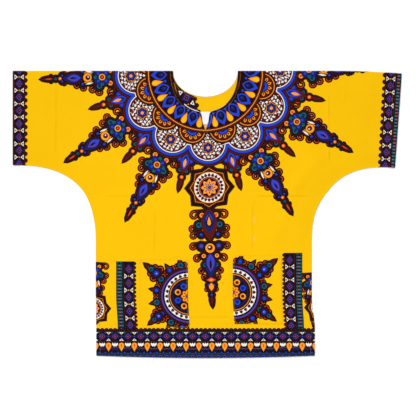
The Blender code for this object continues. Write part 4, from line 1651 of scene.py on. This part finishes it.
def sewn(name, paths, thread):
    """Stitches along paths of points on the cloth, as one plain mesh."""
    curve = bpy.data.curves.new(name, "CURVE")
    curve.dimensions = "3D"
    for path in paths:
        spline = curve.splines.new("POLY")
        spline.points.add(len(path) - 1)
        for point, place in zip(spline.points, path):
            point.co = (*place, 1.0)
    guide = linked(name + "_guide", curve)
    tree = stitch_tree(thread)
    sewing = guide.modifiers.new("sewing", "NODES")
    sewing.node_group = tree
    for item in tree.interface.items_tree:
        if item.name in STITCH:
            sewing[item.identifier] = STITCH[item.name]
    bpy.context.view_layer.update()
    graph = bpy.context.evaluated_depsgraph_get()
    mesh = bpy.data.meshes.new_from_object(guide.evaluated_get(graph))
    mesh.name = name
    mesh.shade_smooth()
    bpy.data.objects.remove(guide)
    return linked(name, mesh)


def on_front(flat, lift=STITCH_LIFT):
    """Points on the front layer's outer face, lifted a little."""
    return raised(outer_face, np.array(flat, float), np.array([lift]))[0]


def hem_paths():
    """Stitch lines of the foot, the cuffs and the vents on the front."""
    xs = np.arange(-HALF_CHEST + 6, HALF_CHEST - 5, 5.0)
    paths = [on_front([(x, hem_depth(x) - BODY_HEM) for x in xs])]
    sleeve = np.arange(FOLD_REACH + 2, CUFF_DEPTH - 2, 5.0)
    vents = np.arange(VENT_TOP, BODY_LENGTH - 8, 4.0)
    for side in (1, -1):
        paths.append(on_front([(side * (CUFF_REACH - CUFF_HEM), d) for d in sleeve]))
        paths.append(on_front([(side * (float(side_x(d)) - VENT_HEM), d) for d in vents]))
        inner, outer = side * (HALF_CHEST - VENT_HEM), side * (HALF_CHEST - 1.5)
        for tack in (1.0, 2.1, 3.2):
            paths.append(on_front([(inner, VENT_TOP - tack), (outer, VENT_TOP - tack)], TACK_LIFT))
    return paths


def neck_paths():
    """The line sewn round the front neckline and the notch."""
    hole = Shape("hole", neck_hole()).points
    ring = grown(hole, NECK_STITCH)
    off = np.hypot(*(ring[:, None] - hole[None]).transpose(2, 0, 1)).min(1)
    return [on_front(ring[(ring[:, 1] > FOLD_REACH + 1) & (off > 0.9 * NECK_STITCH)])]


def on_pocket(row, flat, lift=STITCH_LIFT):
    """Points on a pocket's outer face, lifted a little."""
    flat = np.array(flat, float)
    return raised(outer_face, flat, pocket_rise(row)(*flat.T) + lift)[0]


def pocket_paths(row):
    """A pocket's seam round three sides, its hem line, and a tack at each end of its mouth."""
    side, top = row["side"], row["depth"]
    inner, outer = row["x"] + side * POCKET_SEAM, row["x"] + side * (POCKET_WIDTH - POCKET_SEAM)
    foot, hem = top + POCKET_HEIGHT - POCKET_SEAM, top + POCKET_HEM
    corners = [(inner, top + 1.0), (inner, foot), (outer, foot), (outer, top + 1.0)]
    paths = [on_pocket(row, walked(corners, 4.0) + corners[-1:])]
    paths.append(on_pocket(row, spaced((inner, hem), (outer, hem), 4.0)))
    for x, inwards in ((inner, side), (outer, -side)):
        for step in range(3):
            tack_x = x + inwards * 1.2 * step
            paths.append(on_pocket(row, [(tack_x, top + 1.0), (tack_x, top + 7.0)], POCKET_TACK_LIFT))
    return paths


def on_inside(flat, wall):
    """Points on the outer face of the facing or the label."""
    return inside_back(*flat.T) + [0.0, 0.0, (wall + STITCH_LIFT) * MM]


def inside_paths():
    """The facing's two seams."""
    insets = (FACING_SEAM, FACING_WIDTH - FACING_SET_BACK - FACING_SEAM)
    return [on_inside(facing_arc(inset, 60, 1.0), FACING_WALL) for inset in insets]


def label_paths():
    """The label's seam, all round."""
    half, foot = LABEL_WIDTH / 2 - LABEL_SEAM, LABEL_TOP + LABEL_HEIGHT - LABEL_SEAM
    ring = oblong(-half, LABEL_TOP + LABEL_SEAM, half, foot)
    return [on_inside(np.concatenate([ring, ring[:1]]), LABEL_WALL)]


# The shirt, its light and its camera.


def dress_body(cotton):
    motif = flattened(body_print())
    for name, front, length, area in BODY_CUTS:
        body = cloth_piece(name, body_sheet(motif, front), outer_face, wall_of, cotton, 0.0, pale_neck_edge)
        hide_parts("body")
        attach(body, "root")


def dress_pockets(cotton):
    for row in POCKETS:
        name, sheet = row["node"] + "_cloth", pocket_sheet(row)
        pocket = cloth_piece(name, sheet, outer_face, pocket_wall(row), cotton, pocket_rise(row))
        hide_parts(row["node"])
        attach(pocket, "root")


def dress_neck(cotton):
    facing = cloth_piece("neck_facing_cloth", facing_sheet(), inside_back, FACING_WALL, cotton, FACING_WALL)
    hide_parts("neck_facing")
    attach(facing, "root")
    satin, sheet = label_satin(), label_sheet()
    label = cloth_piece("label_cloth", sheet, inside_back, LABEL_WALL, satin, LABEL_WALL, None, "white")
    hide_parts("label")
    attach(label, "root")


def sew():
    """All the stitches. Each seam is listed with the slot of the cloth that it holds, but nothing gives it
    that slot.
    """
    ochre, white = sewing_thread("ochre_thread", OCHRE), sewing_thread("white_thread", OFF_WHITE)
    seams = [
        ("hem_stitches", hem_paths(), ochre, "printed_cotton"),
        ("neck_stitches", neck_paths(), ochre, "printed_cotton"),
        *((row["node"] + "_stitches", pocket_paths(row), ochre, "printed_cotton") for row in POCKETS),
        ("facing_stitches", inside_paths(), ochre, "facing_cotton"),
        ("label_stitches", label_paths(), white, "label_satin"),
    ]
    for name, paths, thread, slot in seams:
        stitches = sewn(name, paths, thread)
        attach(stitches, "root")


def light():
    """An even white room, a soft sun from the upper left, and a lamp near the shirt."""
    world = bpy.data.worlds.new("even_room")
    world.use_nodes = True
    room = world.node_tree.nodes["Background"].inputs
    room["Color"].default_value = (1.0, 1.0, 1.0, 1.0)
    room["Strength"].default_value = ROOM_LIGHT
    bpy.context.scene.world = world
    sun = bpy.data.lights.new("soft_sun", "SUN")
    sun.energy, sun.angle = SUN_STRENGTH, SUN_SPREAD
    linked("soft_sun", sun).rotation_euler = SUN_TURN
    lamp = bpy.data.lights.new("near_lamp", "AREA")
    lamp.energy, lamp.size = LAMP_POWER, LAMP_SIZE
    linked("near_lamp", lamp).location = LAMP_AT


def lay_floor():
    """A wide sheet of white paper under the shirt."""
    corners = oblong(-FLOOR_REACH, -FLOOR_REACH, FLOOR_REACH, FLOOR_REACH).tolist()
    paper = bpy.data.meshes.new("paper_floor")
    paper.from_pydata([(x, y, FLOOR_LEVEL) for x, y in corners], [], [(0, 1, 2, 3)])
    matt = Finish("white_paper").shine(Base_Color=PAPER, Roughness=0.9, Specular_IOR_Level=0.0)
    paper.materials.append(matt)
    linked("paper_floor", paper)


def set_camera():
    """The camera straight above."""
    lens = bpy.data.cameras.new("camera")
    lens.lens, lens.sensor_width = LENS, SENSOR
    camera = linked("camera", lens)
    camera.location = CAMERA_AT
    scene = bpy.context.scene
    scene.camera = camera
    scene.view_settings.view_transform = "Standard"


def main():
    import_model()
    cotton = printed_cotton()
    dress_body(cotton)
    dress_pockets(cotton)
    dress_neck(cotton)
    sew()
    light()
    lay_floor()
    set_camera()


main()
